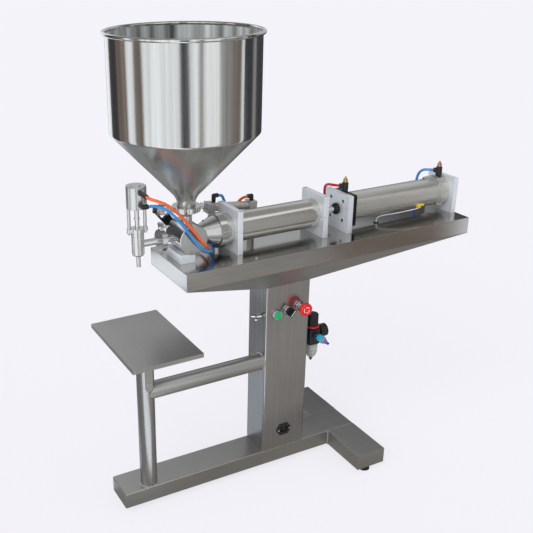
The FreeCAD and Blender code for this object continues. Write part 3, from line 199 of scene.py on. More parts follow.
def makePlastic(name, look):
    # moulded plastic, rubber or paint: faint mottling and a fine grained skin
    look = {**plasticLook, **look}
    material = bpy.data.materials.new(name)
    tree, surface = clearTree(material, "ShaderNodeOutputMaterial")
    grain = addNoise(tree, look["grain"], look["grainDetail"])
    mottle = addNoise(tree, look["mottle"], look["mottleDetail"])
    shader = addNode(tree, "ShaderNodeBsdfPrincipled", {
        "Base Color": addTint(tree, mottle, look), "Roughness": addRoughness(tree, mottle, look),
        "Normal": addBump(tree, grain, look), "Specular IOR Level": look["gloss"],
        "Coat Weight": look["coat"], "Coat Roughness": look["coatRough"],
        "Subsurface Weight": look["milk"], "Subsurface Radius": look["milkRadius"],
        "Transmission Weight": look["clear"]})
    tree.links.new(shader.outputs["BSDF"], surface)
    return material


metals = {
    "brushedAlong": {"colour": (0.50, 0.487, 0.468), "grain": (7, 520, 520), "rough": (0.30, 0.44),
                     "relief": 0.22},
    "brushedAcross": {"colour": (0.50, 0.487, 0.468), "grain": (520, 7, 520), "rough": (0.30, 0.44),
                      "relief": 0.22},
    "brushedUp": {"colour": (0.47, 0.462, 0.452), "grain": (260, 260, 3), "rough": (0.19, 0.31),
                  "spread": 0.16, "relief": 0.22},
    "tableSteel": {"colour": (0.52, 0.505, 0.485), "grain": (9, 480, 480), "rough": (0.10, 0.20),
                   "relief": 0.06},
    "sheetSteel": {"colour": (0.62, 0.615, 0.60), "grain": (420, 420, 4), "clouds": (95, 95, 1.2),
                   "cloudShare": 0.7, "rough": (0.08, 0.19), "spread": 0.20, "relief": 0.05},
    # inside of the hopper: a darker, duller copy of the outer sheet with strong upright light and dark
    # streaks, painted shade and painted reflection bands
    "innerSheetPaintedShadeBands": {"colour": (0.52, 0.545, 0.535), "grain": (420, 420, 4), "clouds": (34, 34, 0.8),
                   "cloudShare": 0.88, "metallic": 0.3, "rough": (0.16, 0.30), "spread": 0.85,
                   "relief": 0.05},
    "coneSheet": {"colour": (0.63, 0.635, 0.60), "grain": (180, 180, 180), "clouds": (14, 14, 6),
                  "cloudShare": 0.7, "metallic": 0.94, "rough": (0.17, 0.30), "spread": 0.10,
                  "relief": 0.05},
    "castSteel": {"colour": (0.62, 0.615, 0.60), "grain": (260, 260, 260), "rough": (0.12, 0.26),
                  "spread": 0.10, "relief": 0.12},
    "turnedSteel": {"colour": (0.68, 0.665, 0.63), "grain": (900, 60, 60), "rough": (0.14, 0.26),
                    "metallic": 0.92, "spread": 0.08, "relief": 0.10},
    "turnedUp": {"colour": (0.70, 0.70, 0.69), "grain": (60, 60, 900), "rough": (0.14, 0.26),
                 "metallic": 0.85, "spread": 0.08, "relief": 0.10},
    "milledPlate": {"colour": (0.85, 0.89, 0.93), "grain": (500, 500, 12), "rough": (0.24, 0.38),
                    "metallic": 0.42, "spread": 0.06, "relief": 0.14},
    "satinAluminium": {"colour": (0.66, 0.645, 0.61), "grain": (8, 620, 620), "rough": (0.24, 0.36),
                       "metallic": 0.8, "spread": 0.06, "relief": 0.12},
    "satinAluminiumUp": {"colour": (0.70, 0.70, 0.70), "grain": (620, 620, 8), "rough": (0.24, 0.36),
                         "spread": 0.06, "relief": 0.12},
    "wornChrome": {"colour": (0.78, 0.78, 0.77), "grain": (300, 300, 300), "rough": (0.05, 0.14),
                   "spread": 0.05, "relief": 0.04},
    "brass": {"colour": (0.66, 0.46, 0.16), "grain": (200, 200, 1200), "rough": (0.16, 0.30),
              "relief": 0.08},
    "copperBrass": {"colour": (0.62, 0.36, 0.24), "grain": (200, 200, 1200), "rough": (0.16, 0.30),
                    "relief": 0.08},
    "blackAnodised": {"colour": (0.05, 0.05, 0.052), "grain": (700, 700, 700), "rough": (0.28, 0.42),
                      "spread": 0.2, "relief": 0.1},
    "blueNut": {"colour": (0.10, 0.26, 0.52), "grain": (700, 700, 700), "rough": (0.16, 0.28)},
}

plastics = {
    "blackPlastic": {"colour": (0.014, 0.014, 0.016), "rough": (0.30, 0.46)},
    "blackRubber": {"colour": (0.018, 0.018, 0.018), "rough": (0.55, 0.75), "gloss": 0.3},
    "whiteSeal": {"colour": (0.74, 0.73, 0.70), "rough": (0.45, 0.6), "milk": 0.2},
    "greenCap": {"colour": (0.0, 0.42, 0.13), "rough": (0.14, 0.24), "coat": 0.4},
    "redCap": {"colour": (0.72, 0.012, 0.016), "rough": (0.12, 0.22), "coat": 0.5},
    "redRing": {"colour": (0.66, 0.02, 0.025), "rough": (0.3, 0.42)},
    "orangeTube": {"colour": (0.90, 0.15, 0.022), "rough": (0.16, 0.28), "coat": 0.3, "milk": 0.12},
    "blueTube": {"colour": (0.055, 0.30, 0.72), "rough": (0.16, 0.28), "coat": 0.3, "milk": 0.12},
    "redTube": {"colour": (0.68, 0.018, 0.02), "rough": (0.16, 0.28), "coat": 0.3, "milk": 0.12},
    "whiteWire": {"colour": (0.72, 0.70, 0.66), "rough": (0.35, 0.5)},
    "yellowSensor": {"colour": (0.86, 0.62, 0.03), "rough": (0.3, 0.42)},
    "cyanSleeve": {"colour": (0.02, 0.42, 0.68), "rough": (0.22, 0.34), "coat": 0.3},
    "clearBowl": {"colour": (0.66, 0.70, 0.62), "rough": (0.20, 0.30), "clear": 0.6, "relief": 0.0,
                  "spread": 0.04},
    "dialFace": {"colour": (0.82, 0.82, 0.80), "rough": (0.3, 0.4), "spread": 0.03},
    "clearGlass": {"colour": (0.97, 0.98, 0.98), "rough": (0.01, 0.02), "clear": 1.0, "spread": 0.0,
                   "relief": 0.0},
    "filterFelt": {"colour": (0.70, 0.70, 0.66), "rough": (0.6, 0.8), "spread": 0.06},
    "markWhite": {"colour": (0.86, 0.86, 0.86), "rough": (0.35, 0.5), "spread": 0.03},
    "violetTip": {"colour": (0.10, 0.09, 0.62), "rough": (0.16, 0.28), "coat": 0.4},
}

finishes = {name: makeMetal(name, look) for name, look in metals.items()}
finishes.update({name: makePlastic(name, look) for name, look in plastics.items()})
print("finishes made:", len(finishes))


# air tubes and sensor wire, each on the points of its CAD route

cordLook = {
    "tubeDiameter": 0.008,
    "wireDiameter": 0.003,
    "alongSteps": 12,
    "roundSteps": 5,
    "routes": {        # finish, length, stiffness and points in millimetres
        "tube_nozzle_upper": ("orangeTube", 0.480, "medium", [
            (-474, -56, 958), (-474, -84, 958), (-461, -99, 955), (-438, -101, 944), (-400, -92, 912.5),
            (-359, -78, 867), (-318, -62, 811), (-292, -50, 786), (-278, -24, 770), (-274, 14, 764),
            (-272, 46, 768), (-271, 66, 779), (-270, 86, 777), (-270, 97, 762), (-270, 97, 738)]),
        "tube_nozzle_lower": ("blueTube", 0.436, "medium", [
            (-471, -45, 925), (-450, -45, 925), (-430, -56, 922), (-410, -67, 909), (-384, -70, 879.5),
            (-352, -62, 836), (-320, -57, 792), (-295, -50, 773), (-268, -34, 766), (-254, -2, 759),
            (-248, 32, 761), (-247, 56, 770), (-246, 78, 770), (-246, 92, 762), (-246, 92, 738)]),
        "tube_valve_front": ("blueTube", 0.175, "medium", [
            (-202.64, 78, 882.3), (-181.64, 78, 882.3), (-170, 88, 866), (-155, 98, 838),
            (-150.6, 101.4, 808), (-150, 102, 780), (-150, 102, 738)]),
        "tube_valve_rear": ("orangeTube", 0.155, "medium", [
            (-87.32, 78, 864.34), (-107.32, 78, 864.34), (-117, 91, 851), (-126, 100, 830),
            (-129.4, 101.6, 802), (-130, 102, 776), (-130, 102, 738)]),
        "tube_drive_front": ("redTube", 0.200, "medium", [
            (184.76, 4.24, 874), (166.37, 22.63, 874), (161, 46, 873), (166, 68, 860), (175, 80, 834),
            (181, 84, 802), (182, 84, 772), (182, 84, 738)]),
        "tube_drive_rear": ("blueTube", 0.184, "medium", [
            (543.76, 4.24, 874), (525.37, 22.63, 874), (514, 36, 872), (511, 50, 857), (514, 59, 833),
            (517, 62, 804), (518, 62, 774), (518, 62, 738)]),
        "sensor_wire": ("whiteWire", 0.178, "limp", [
            (449, -42.1, 780.6), (430, -43.5, 778.5), (404, -44, 778), (378, -41, 776), (352, -34, 773),
            (328, -26, 771), (309, -20, 767), (300, -18, 762), (300, -18, 738)]),
    },
}


def makeCord(node, finish, points, diameter):
    data = bpy.data.curves.new(node + "_curve", "CURVE")
    data.dimensions = "3D"
    data.resolution_u = cordLook["alongSteps"]
    data.bevel_depth = diameter / 2
    data.bevel_resolution = cordLook["roundSteps"]
    data.use_fill_caps = True
    spline = data.splines.new("NURBS")
    spline.points.add(len(points) - 1)
    for point, (x, y, z) in zip(spline.points, points):
        point.co = (x / 1000, y / 1000, z / 1000, 1)
    spline.order_u = 3
    spline.use_endpoint_u = True
    obj = addObject(node + "_line", data)
    data.materials.append(finishes[finish])
    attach(obj, bodyOf[node])
    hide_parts(node)


for node, (finish, length, stiffness, points) in cordLook["routes"].items():
    thick = cordLook["wireDiameter"] if node == "sensor_wire" else cordLook["tubeDiameter"]
    makeCord(node, finish, points, thick)
print("cords laid:", len(cordLook["routes"]))


# finishes of the CAD nodes

nodeFinish = {
    "floor_beam": "brushedAlong", "cross_feet": "brushedAcross", "levelling_feet": "blackRubber",
    "column": "brushedUp", "column_back_cover": "brushedUp", "table_top": "tableSteel",
    "table_underbody": "brushedAlong", "tray_stand": "brushedUp", "tray_plate": "brushedAcross",
    "power_inlet": "blackPlastic", "control_bezels": "wornChrome", "start_button": "greenCap",
    "selector_knob": "blackPlastic", "estop_stem": "wornChrome", "estop_head": "redCap",
    "control_gear": "blackPlastic", "wing_bolt": "wornChrome", "hopper": "sheetSteel",
    "hopper_cone": "sheetSteel", "valve_block": "milledPlate", "valve_body": "castSteel",
    "valve_plug": "turnedSteel", "valve_lever": "blackPlastic", "actuator_cylinder": "satinAluminium",
    "actuator_rod": "wornChrome", "material_cylinder": "turnedSteel", "material_piston": "whiteSeal",
    "drive_rod": "wornChrome", "bracket_bases": "milledPlate", "bracket_caps": "milledPlate",
    "mount_plates": "milledPlate", "air_barrel": "satinAluminium", "cylinder_end_caps": "satinAluminium",
    "nozzle_body": "turnedUp", "nozzle_tip": "turnedUp", "nozzle_cylinder": "satinAluminiumUp",
    "nozzle_plunger": "wornChrome", "pipe_clamps": "castSteel", "hopper_clamp_nut": "wornChrome",
    "cylinder_clamp_nut": "wornChrome", "nozzle_clamp_nut": "wornChrome",
    "regulator_body": "blackPlastic", "regulator_knob": "blackPlastic", "filter_bowl": "clearBowl",
    "gauge_needle": "redRing", "inlet_coupler": "wornChrome",
    "slide_sleeve": "cyanSleeve", "air_fittings": "blackPlastic", "needle_screw_front": "brass",
    "needle_screw_rear": "copperBrass", "reed_sensor": "yellowSensor", "seal_rings": "blackRubber",
    "fasteners": "wornChrome",
}
nodeFinish.update({node: route[0] for node, route in cordLook["routes"].items()})

# a second finish for the faces of a node whose middle lies between these limits
secondFinish = [
    ("regulator_body", "redRing", {"z": (449.9, 454.1)}),
    ("tray_stand", "brushedAlong", {"x": (-452, 0), "z": (345, 415)}),       # the side tube
    ("inlet_coupler", "violetTip", {"y": (-200, -92.5)}),
    ("inlet_coupler", "blueNut", {"y": (-47.2, 0)}),
]


def paintPart(node, finish, limits):
    data = nodes[node].data
    data.materials.append(finishes[finish])
    for face in data.polygons:
        if all(low < getattr(face.center, axis) * 1000 < high for axis, (low, high) in limits.items()):
            face.material_index = len(data.materials) - 1


for node, finish in nodeFinish.items():
    nodes[node].data.materials.clear()
    nodes[node].data.materials.append(finishes[finish])
for node, finish, limits in secondFinish:
    paintPart(node, finish, limits)
print("CAD nodes finished:", len(nodeFinish))


# softened copies of the plain sheet, beam and block nodes

softLook = {
    "widths": {
        "floor_beam": 0.0032, "cross_feet": 0.0032, "column": 0.0060, "table_top": 0.0036,
        "tray_plate": 0.0026, "valve_block": 0.0015, "bracket_bases": 0.0014, "bracket_caps": 0.0014,
        "mount_plates": 0.0014, "valve_body": 0.0010, "valve_lever": 0.0010, "cylinder_end_caps": 0.0012,
        "nozzle_body": 0.0008, "pipe_clamps": 0.0008, "actuator_cylinder": 0.0012,
        "nozzle_cylinder": 0.0008,
    },
    "longEdge": 0.012,        # edges longer than this take the full width, the others the small one
    "smallWidth": 0.0006,
    "segments": 4,
    "smallSegments": 2,
    "sharpAngle": 32,
    "flatAngle": 0.4,         # faces closer than this to one plane are joined first
    "mergeDistance": 0.000004,
    "columnStrip": 0.0068,    # the column's faces are cut free this far from its corners
    "cornerReach": 0.0001,
    # black front cap and gland nut of the air cylinder, between two places along X
    "bands": {"cylinder_end_caps": (0.1500, 0.1995, "blackAnodised")},
}


def columnCorners(work, low, high):
    # only the four upright corners, each cut free of the pierced faces first
    for axis in (0, 1):
        for place in (low[axis] + softLook["columnStrip"], high[axis] - softLook["columnStrip"]):
            where, normal = [0, 0, 0], [0, 0, 0]
            where[axis], normal[axis] = place, 1
            bmesh.ops.bisect_plane(work, geom=work.verts[:] + work.edges[:] + work.faces[:],
                                   plane_co=where, plane_no=normal)
    reach = softLook["cornerReach"]
    return [edge for edge in work.edges if edge.calc_length() > reach and all(
        min(abs(v.co[axis] - low[axis]), abs(v.co[axis] - high[axis])) < reach
        for v in edge.verts for axis in (0, 1))]


def softened(node, width):
    work = bmesh.new()
    work.from_mesh(nodes[node].data)
    bmesh.ops.remove_doubles(work, verts=work.verts, dist=softLook["mergeDistance"])
    bmesh.ops.dissolve_limit(work, angle_limit=math.radians(softLook["flatAngle"]),
                             verts=work.verts, edges=work.edges)
    sharp = math.radians(softLook["sharpAngle"])
    low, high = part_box(node)
    if node == "column":
        edges = columnCorners(work, low, high)
    else:
        edges = [edge for edge in work.edges if len(edge.link_faces) == 2
                 and edge.calc_length() > softLook["longEdge"] and edge.calc_face_angle(0) > sharp]
    bmesh.ops.bevel(work, geom=edges, offset=width, offset_type="OFFSET", segments=softLook["segments"],
                    profile=0.5, affect="EDGES", clamp_overlap=True, loop_slide=True)
    data = bpy.data.meshes.new(node + "_soft")
    work.to_mesh(data)
    work.free()
    for face in data.polygons:
        face.use_smooth = True
    obj = addObject(node + "_soft", data)
    data.materials.clear()
    data.materials.append(nodes[node].data.materials[0])
    bevel = obj.modifiers.new("softEdges", "BEVEL")
    bevel.width = softLook["smallWidth"]
    bevel.segments = softLook["smallSegments"]
    bevel.limit_method = "ANGLE"
    bevel.angle_limit = sharp
    bevel.use_clamp_overlap = True
    flat = obj.modifiers.new("flatFaces", "WEIGHTED_NORMAL")
    flat.mode = "FACE_AREA"
    flat.weight = 100
    smooth = plainMesh(obj)
    obj.modifiers.clear()
    obj.data = smooth
    for vert in smooth.vertices:        # nothing stands past the node's own box
        vert.co = [min(max(c, a), b) for c, a, b in zip(vert.co, low, high)]
    if node in softLook["bands"]:
        start, end, finish = softLook["bands"][node]
        smooth.materials.append(finishes[finish])
        for face in smooth.polygons:
            if start < face.center.x < end:
                face.material_index = 1
    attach(obj, bodyOf[node])
    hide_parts(node)


for node, width in softLook["widths"].items():
    softened(node, width)
print("softened copies:", len(softLook["widths"]))


# mesh helpers

def lathe(work, profile, origin, axis, sides, index=0, closed=False):
    # turns (radius, distance) pairs about an axis through the origin
    def at(radius, along, angle):
        u, v = radius * math.cos(angle), radius * math.sin(angle)
        x, y, z = {"X": (along, u, v), "Y": (v, along, u), "Z": (u, v, along)}[axis]
        return ((origin[0] + x) / 1000, (origin[1] + y) / 1000, (origin[2] + z) / 1000)
    rings = []
    for radius, along in profile:
        count = sides if radius else 1
        rings.append([work.verts.new(at(radius, along, 2 * math.pi * k / sides)) for k in range(count)])
    for low, high in zip(rings, rings[1:] + rings[:1] if closed else rings[1:]):
        for k in range(sides):
            after = (k + 1) % sides
            corners = [low[k], low[after]] if len(low) > 1 else [low[0]]
            corners += [high[after], high[k]] if len(high) > 1 else [high[0]]
            work.faces.new(corners).material_index = index
    return rings


def slab(work, outline, low, high, axis):
    # flat plate with the outline in the plane across the axis
    def at(u, v, w):
        x, y, z = {"X": (w, u, v), "Y": (u, w, v), "Z": (u, v, w)}[axis]
        return (x / 1000, y / 1000, z / 1000)
    bottom = [work.verts.new(at(u, v, low)) for u, v in outline]
    top = [work.verts.new(at(u, v, high)) for u, v in outline]
    work.faces.new(bottom)
    work.faces.new(top[::-1])
    for k in range(len(outline)):
        after = (k + 1) % len(outline)
        work.faces.new((bottom[k], top[k], top[after], bottom[after]))


def arcBand(centre, inner, outer, start, end, steps=16):
    # outline of a band along an arc, angles in degrees
    out, back = [], []
    for k in range(steps + 1):
        a = math.radians(start + (end - start) * k / steps)
        out.append((centre[0] + outer * math.cos(a), centre[1] + outer * math.sin(a)))
        back.append((centre[0] + inner * math.cos(a), centre[1] + inner * math.sin(a)))
    return out + back[::-1]


def finishMesh(work, name, materials, body, sharpAngle=None):
    # without a sharp angle all faces stay flat
    bmesh.ops.recalc_face_normals(work, faces=work.faces)
    data = bpy.data.meshes.new(name)
    work.to_mesh(data)
    work.free()
    for face in data.polygons:
        face.use_smooth = sharpAngle is not None
    if sharpAngle is not None:
        data.set_sharp_from_angle(angle=math.radians(sharpAngle))
    for finish in materials:
        data.materials.append(finishes[finish])
    obj = addObject(name, data)
    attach(obj, body)
    return obj


# hopper: rolled shell, cone, neck and lip turned about its own axis, with the slight waves of thin sheet

hopperLook = {
    "centre": (-0.331, 0.0),
    "sides": 288,
    "sharpAngle": 35,
    "wave": 0.00045,          # how far the rolled sheet leaves a true circle
    "coneWave": 0.0003,
    # number of waves round, start, twist over the height, share
    "waves": [(3, 0.7, 0, 0.5), (7, 2.1, 0, 0.35), (13, 4.0, 0, 0.22), (23, 1.3, 3, 0.12),
              (37, 5.2, 0, 0.06)],
    "waved": (930, 1334.5),   # heights between which the sheet has waves
    "neckRadius": 26,
    "shellFoot": 1.09,        # height, and below it where the waves fade out and over what height
    "rimFade": (1.336, 0.05),
    "neckFade": (0.93, 0.08),
    "coneFaces": 1.0945,      # heights up to which the cone's and the inner finish reach
    "innerFaces": 1.3379,
    # rolled rim: centre and radius; first and last angle and number of points
    "bead": (198, 1342, 5),
    "beadAngles": (200, -80, 15),
    "outer": [(195, 1337.4), (195, 1338), (195, 1334), (195, 1300), (195, 1240), (195, 1180), (195, 1130),
              (195, 1104), (195, 1099), (194.6, 1096.6), (193.2, 1095), (190.4, 1092.2), (165, 1065.4),
              (135, 1033.6), (105, 1001.8), (75, 970), (50, 943.5), (34, 926.5), (27.5, 915), (25.5, 909),
              (25.5, 895), (25.5, 894), (32, 892.5), (32, 889.6)],
    "inner": [(23.9, 889.6), (23.9, 911.6), (26, 916.6), (34, 929), (75, 972.4), (135, 1036),
              (190.4, 1094.6), (192.6, 1097.6), (193.3, 1101), (193.4, 1104), (193.4, 1180), (193.4, 1240),
              (193.4, 1300), (193.4, 1338)],
}


def hopperOffset(angle, z, look):
    waves = sum(share * math.sin(count * angle + start + twist * z)
                for count, start, twist, share in look["waves"])
    if z > look["shellFoot"]:
        end, over = look["rimFade"]
        depth, inside = look["wave"], end - z
    else:
        end, over = look["neckFade"]
        depth, inside = look["coneWave"], z - end
    return -depth * (1 + waves) * min(1.0, max(0.0, inside / over)) * 0.5


def makeHopper(look):
    x0, y0 = look["centre"]
    across, height, radius = look["bead"]
    first, last, count = look["beadAngles"]
    bead = []
    for step in range(count):
        angle = math.radians(first + (last - first) * step / (count - 1))
        bead.append((across + radius * math.cos(angle), height + radius * math.sin(angle)))
    profile = look["inner"][-1:] + bead + look["outer"] + look["inner"][:-1]
    work = bmesh.new()
    rings = lathe(work, profile, (x0 * 1000, y0 * 1000, 0), "Z", look["sides"], closed=True)
    low, high = look["waved"]
    for ring, (radius, z) in zip(rings, profile):
        if low < z < high and radius > look["neckRadius"]:
            for step, vert in enumerate(ring):
                angle = 2 * math.pi * step / look["sides"]
                r = radius / 1000 + hopperOffset(angle, z / 1000, look)
                vert.co.xy = (x0 + r * math.cos(angle), y0 + r * math.sin(angle))
    hopper = finishMesh(work, "hopper_sheet", ["sheetSteel", "innerSheetPaintedShadeBands", "coneSheet"], bodyOf["hopper"],
                        look["sharpAngle"])
    for face in hopper.data.polygons:
        x, y, z = face.center
        inward = face.normal.x * (x - x0) + face.normal.y * (y - y0) < 0
        if z < look["coneFaces"]:
            face.material_index = 2
        elif inward and z < look["innerFaces"]:
            # inward faces take the finish with the painted shade and painted reflection bands
            face.material_index = 1
    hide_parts("hopper", "hopper_cone")


makeHopper(hopperLook)
print("hopper turned")


# geometry node helpers

def newGroup(name, inputs):
    # a group with these inputs and a geometry output; returns it with its input sockets
    tree = bpy.data.node_groups.new(name, "GeometryNodeTree")
    for label, kind, value in inputs:
        socket = tree.interface.new_socket(label, in_out="INPUT", socket_type="NodeSocket" + kind)
        if value is not None:
            socket.default_value = value
    tree.interface.new_socket("Geometry", in_out="OUTPUT", socket_type="NodeSocketGeometry")
    return tree, addNode(tree, "NodeGroupInput").outputs


def endGroup(tree, instances, finish):
    real = addNode(tree, "GeometryNodeRealizeInstances", {"Geometry": instances})
    paint = addNode(tree, "GeometryNodeSetMaterial", {
        "Geometry": real.outputs["Geometry"], "Material": finish})
    addNode(tree, "NodeGroupOutput", {"Geometry": paint.outputs["Geometry"]})


def alongCurve(tree, axis):
    # a rotation that lays this axis along the curve
    tangent = addNode(tree, "GeometryNodeInputTangent")
    turn = addNode(tree, "FunctionNodeAlignRotationToVector", {"Vector": tangent.outputs["Tangent"]},
                   axis=axis)
    return turn.outputs["Rotation"]


def socketId(tree, name):
    return next(item.identifier for item in tree.interface.items_tree
                if item.item_type == "SOCKET" and item.in_out == "INPUT" and item.name == name)


def throughTree(source, tree, values, name, body):
    # runs the tree on the source and keeps the result as one plain mesh
    modifier = source.modifiers.new("repeat", "NODES")
    modifier.node_group = tree
    for key, value in values.items():
        modifier[socketId(tree, key)] = value
    data = plainMesh(source)
    data.name = name
    obj = addObject(name, data)
    bpy.data.objects.remove(source)
    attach(obj, body)
    return obj


# weld beads: overlapping scales along each seam

weldLook = {
    "pitch": 0.0016,
    "radius": 0.0022,
    "wobble": (0.85, 1.1),
    "flatness": 0.62,
    "seed": 7,
    "finish": "castSteel",
    "circles": [((-478, -25, 70.6), "Z", 25.6),         # post on the floor beam
                ((-102.9, -25, 378), "X", 25.6)],       # side tube on the column
    "lines": [[(145.4, -50.6, 70), (145.4, -50.6, 20)]],      # cross foot against the beam, front
}


def weldTree(look):
    tree, given = newGroup("weldScales", [
        ("Geometry", "Geometry", None), ("Pitch", "Float", look["pitch"]),
        ("Radius", "Float", look["radius"]), ("Finish", "Material", None)])
    even = addNode(tree, "GeometryNodeResampleCurve", {"Curve": given["Geometry"], "Length": given["Pitch"]},
                   mode="LENGTH")
    scale = addNode(tree, "GeometryNodeMeshIcoSphere", {"Subdivisions": 2, "Radius": given["Radius"]})
    wobble = addNode(tree, "FunctionNodeRandomValue", {
        "Min": look["wobble"][0], "Max": look["wobble"][1], "Seed": look["seed"]}, data_type="FLOAT")
    size = addNode(tree, "ShaderNodeCombineXYZ", {
        "X": wobble.outputs[1], "Y": wobble.outputs[1], "Z": look["flatness"]})
    place = addNode(tree, "GeometryNodeInstanceOnPoints", {
        "Points": even.outputs["Curve"], "Instance": scale.outputs["Mesh"], "Rotation": alongCurve(tree, "Z"),
        "Scale": size.outputs["Vector"]})
    endGroup(tree, place.outputs["Instances"], given["Finish"])
    return tree


def seamCurve(name, loops):
    data = bpy.data.curves.new(name, "CURVE")
    data.dimensions = "3D"
    for points, closed in loops:
        spline = data.splines.new("POLY")
        spline.points.add(len(points) - 1)
        for point, place in zip(spline.points, points):
            point.co = (*[c / 1000 for c in place], 1)
        spline.use_cyclic_u = closed
    return addObject(name, data)


def circlePoints(centre, axis, radius, count=48):
    x, y, z = centre
    points = []
    for step in range(count):
        a = 2 * math.pi * step / count
        u, v = radius * math.cos(a), radius * math.sin(a)
        points.append({"X": (x, y + u, z + v), "Y": (x + u, y, z + v), "Z": (x + u, y + v, z)}[axis])
    return points


def makeWelds(look):
    loops = [(circlePoints(*circle), True) for circle in look["circles"]]
    loops += [(line, False) for line in look["lines"]]
    values = {"Pitch": look["pitch"], "Radius": look["radius"], "Finish": finishes[look["finish"]]}
    throughTree(seamCurve("weldPath", loops), weldTree(look), values, "weld_seams", "stand")


makeWelds(weldLook)
print("weld seams laid")


# emergency stop head and its turning arrows

stopLook = {
    "centre": (12.5, -89.0, 547.0),
    # dished front with a ring groove, rounded rim, neck down to the stem and its bore
    "profile": [(0, 1.5), (6, 1.4), (11.2, 1.0), (12.2, 0.9), (12.8, 1.6), (13.6, 1.6), (14.2, 0.6),
                (16, 0.15), (17.4, 0.4), (18.7, 1.3), (19.6, 2.8), (20, 5), (20, 11.5), (19.6, 12.6),
                (18.6, 13), (15.2, 13), (15, 13.4), (13.6, 17), (12.2, 21), (11.5, 24.5), (4.1, 24.5),
                (4.1, 11), (0, 11)],
    "sides": 96,
    "sharpAngle": 40,
    "arrows": [(20, 92), (140, 212), (260, 332)],      # start and end of each, degrees
    "arrowRadius": (8.2, 9.8),
    "arrowHead": (16, 1.3),          # length in degrees, reach to both sides
    "arrowFront": 1.05,
    "arrowThickness": 0.4,
}


def makeStopHead(look):
    x, y, z = look["centre"]
    work = bmesh.new()
    lathe(work, look["profile"], look["centre"], "Y", look["sides"])
    head = finishMesh(work, "stop_mushroom", ["redCap"], bodyOf["estop_head"], look["sharpAngle"])
    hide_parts("estop_head")
    work = bmesh.new()
    inner, outer = look["arrowRadius"]
    length, reach = look["arrowHead"]
    front = y + look["arrowFront"]
    back = front + look["arrowThickness"]
    for start, end in look["arrows"]:
        slab(work, arcBand((x, z), inner, outer, start, end), front, back, "Y")
        corners = ((outer + reach, end), ((inner + outer) / 2, end + length), (inner - reach, end))
        slab(work, [(x + r * math.cos(math.radians(a)), z + r * math.sin(math.radians(a)))
                    for r, a in corners], front, back, "Y")
    finishMesh(work, "stop_arrows", ["markWhite"], bodyOf["estop_head"])


# white line on the mode selector

selectorLook = {"centre": (-27.5, 541.0), "front": -79.15, "thickness": 0.4, "turn": 40, "length": 21.5,
                "width": 1.9}


def makeSelectorMark(look):
    a = math.radians(look["turn"])
    half, side = look["length"] / 2, look["width"] / 2
    outline = []
    for end in (1, -1):             # a half circle at each end
        for k in range(7):
            b = math.radians(-90 + 30 * k)
            outline.append((end * side * math.sin(b), end * (half - side + side * math.cos(b))))
    x, z = look["centre"]
    turned = [(x + u * math.cos(a) + v * math.sin(a), z - u * math.sin(a) + v * math.cos(a))
              for u, v in outline]
    work = bmesh.new()
    slab(work, turned, look["front"], look["front"] + look["thickness"], "Y")
    finishMesh(work, "selector_mark", ["markWhite"], bodyOf["selector_knob"])


# rubber rings under the three control bezels

gasketLook = {
    "centres": [(-67.5, 536.0), (-27.5, 541.0), (12.5, 547.0)],
    "face": -50.0,
    "profile": [(14.0, 0), (15.3, 0), (15.5, -0.3), (15.4, -0.8), (15.0, -1.0), (14.0, -1.0), (14.0, 0)],
    "sides": 64,
    "sharpAngle": 40,
}


def makeGaskets(look):
    work = bmesh.new()
    for x, z in look["centres"]:
        lathe(work, look["profile"], (x, look["face"], z), "Y", look["sides"])
    finishMesh(work, "bezel_gaskets", ["blackRubber"], "stand", look["sharpAngle"])


# clear filter bowl with its filter element and drain

bowlLook = {
    "centre": (84.5, -18.0, 0),
    "sides": (72, 48, 48),
    "sharpAngle": 35,
    "bowl": [(0, 345.2), (9, 345.2), (12.4, 348.6), (15.5, 353), (17.2, 359), (18.7, 367), (19.3, 372),
             (19.3, 376.2), (19.5, 376.8), (19.5, 380.2), (19.3, 380.8), (19.3, 393.7), (15, 393.7),
             (15, 402.7), (12.5, 402.7), (12.5, 390.5), (16.9, 387.5), (17.0, 373), (13.5, 356),
             (8, 348.2), (0, 348.2)],
    "element": [(0, 384), (9.5, 384), (9.9, 383.4), (9.9, 368.6), (9.3, 368), (4, 368), (4, 364),
                (11.5, 362.6), (11.5, 361.4), (0, 361.4)],
    "drain": [(0, 345.1), (6, 345.1), (6, 339.4), (5.6, 339), (3.5, 339), (3.5, 333.4), (3.1, 333),
              (0, 333)],
}


def makeBowl(look):
    work = bmesh.new()
    for index, part in enumerate(("bowl", "element", "drain")):
        lathe(work, look[part], look["centre"], "Z", look["sides"][index], index)
    bowl = finishMesh(work, "bowl_clear", ["clearBowl", "filterFelt", "blackPlastic"],
                      bodyOf["filter_bowl"], look["sharpAngle"])
    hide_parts("filter_bowl")


# face, ticks, numbers and glass of the pressure gauge, which faces +X

dialLook = {
    "centre": (128.5, -18.0, 427.0),
    "face": [(0, 0), (17.2, 0), (17.2, 0.2), (0, 0.2)],
    "glass": [(0, 2.9), (17.4, 2.9), (17.4, 3.7), (0, 3.7)],
    "sides": 72,
    "sharpAngle": 40,
    "start": 225,             # degrees of the first number; the scale runs clockwise
    "sweep": 270,
    "lift": 0.0003,           # ticks and numbers above the face
    "ticks": 51,
    "tickOuter": 0.0158,
    "tickSize": (0.0016, 0.00028, 0.0002),
    "longEvery": 5,           # every fifth tick is longer by this share
    "longShare": 0.9,
    "numbers": [0, 2, 4, 6, 8, 10],
    "numberRadius": 0.0116,
    "numberSize": 0.0036,
    "numberThickness": 0.00005,
}


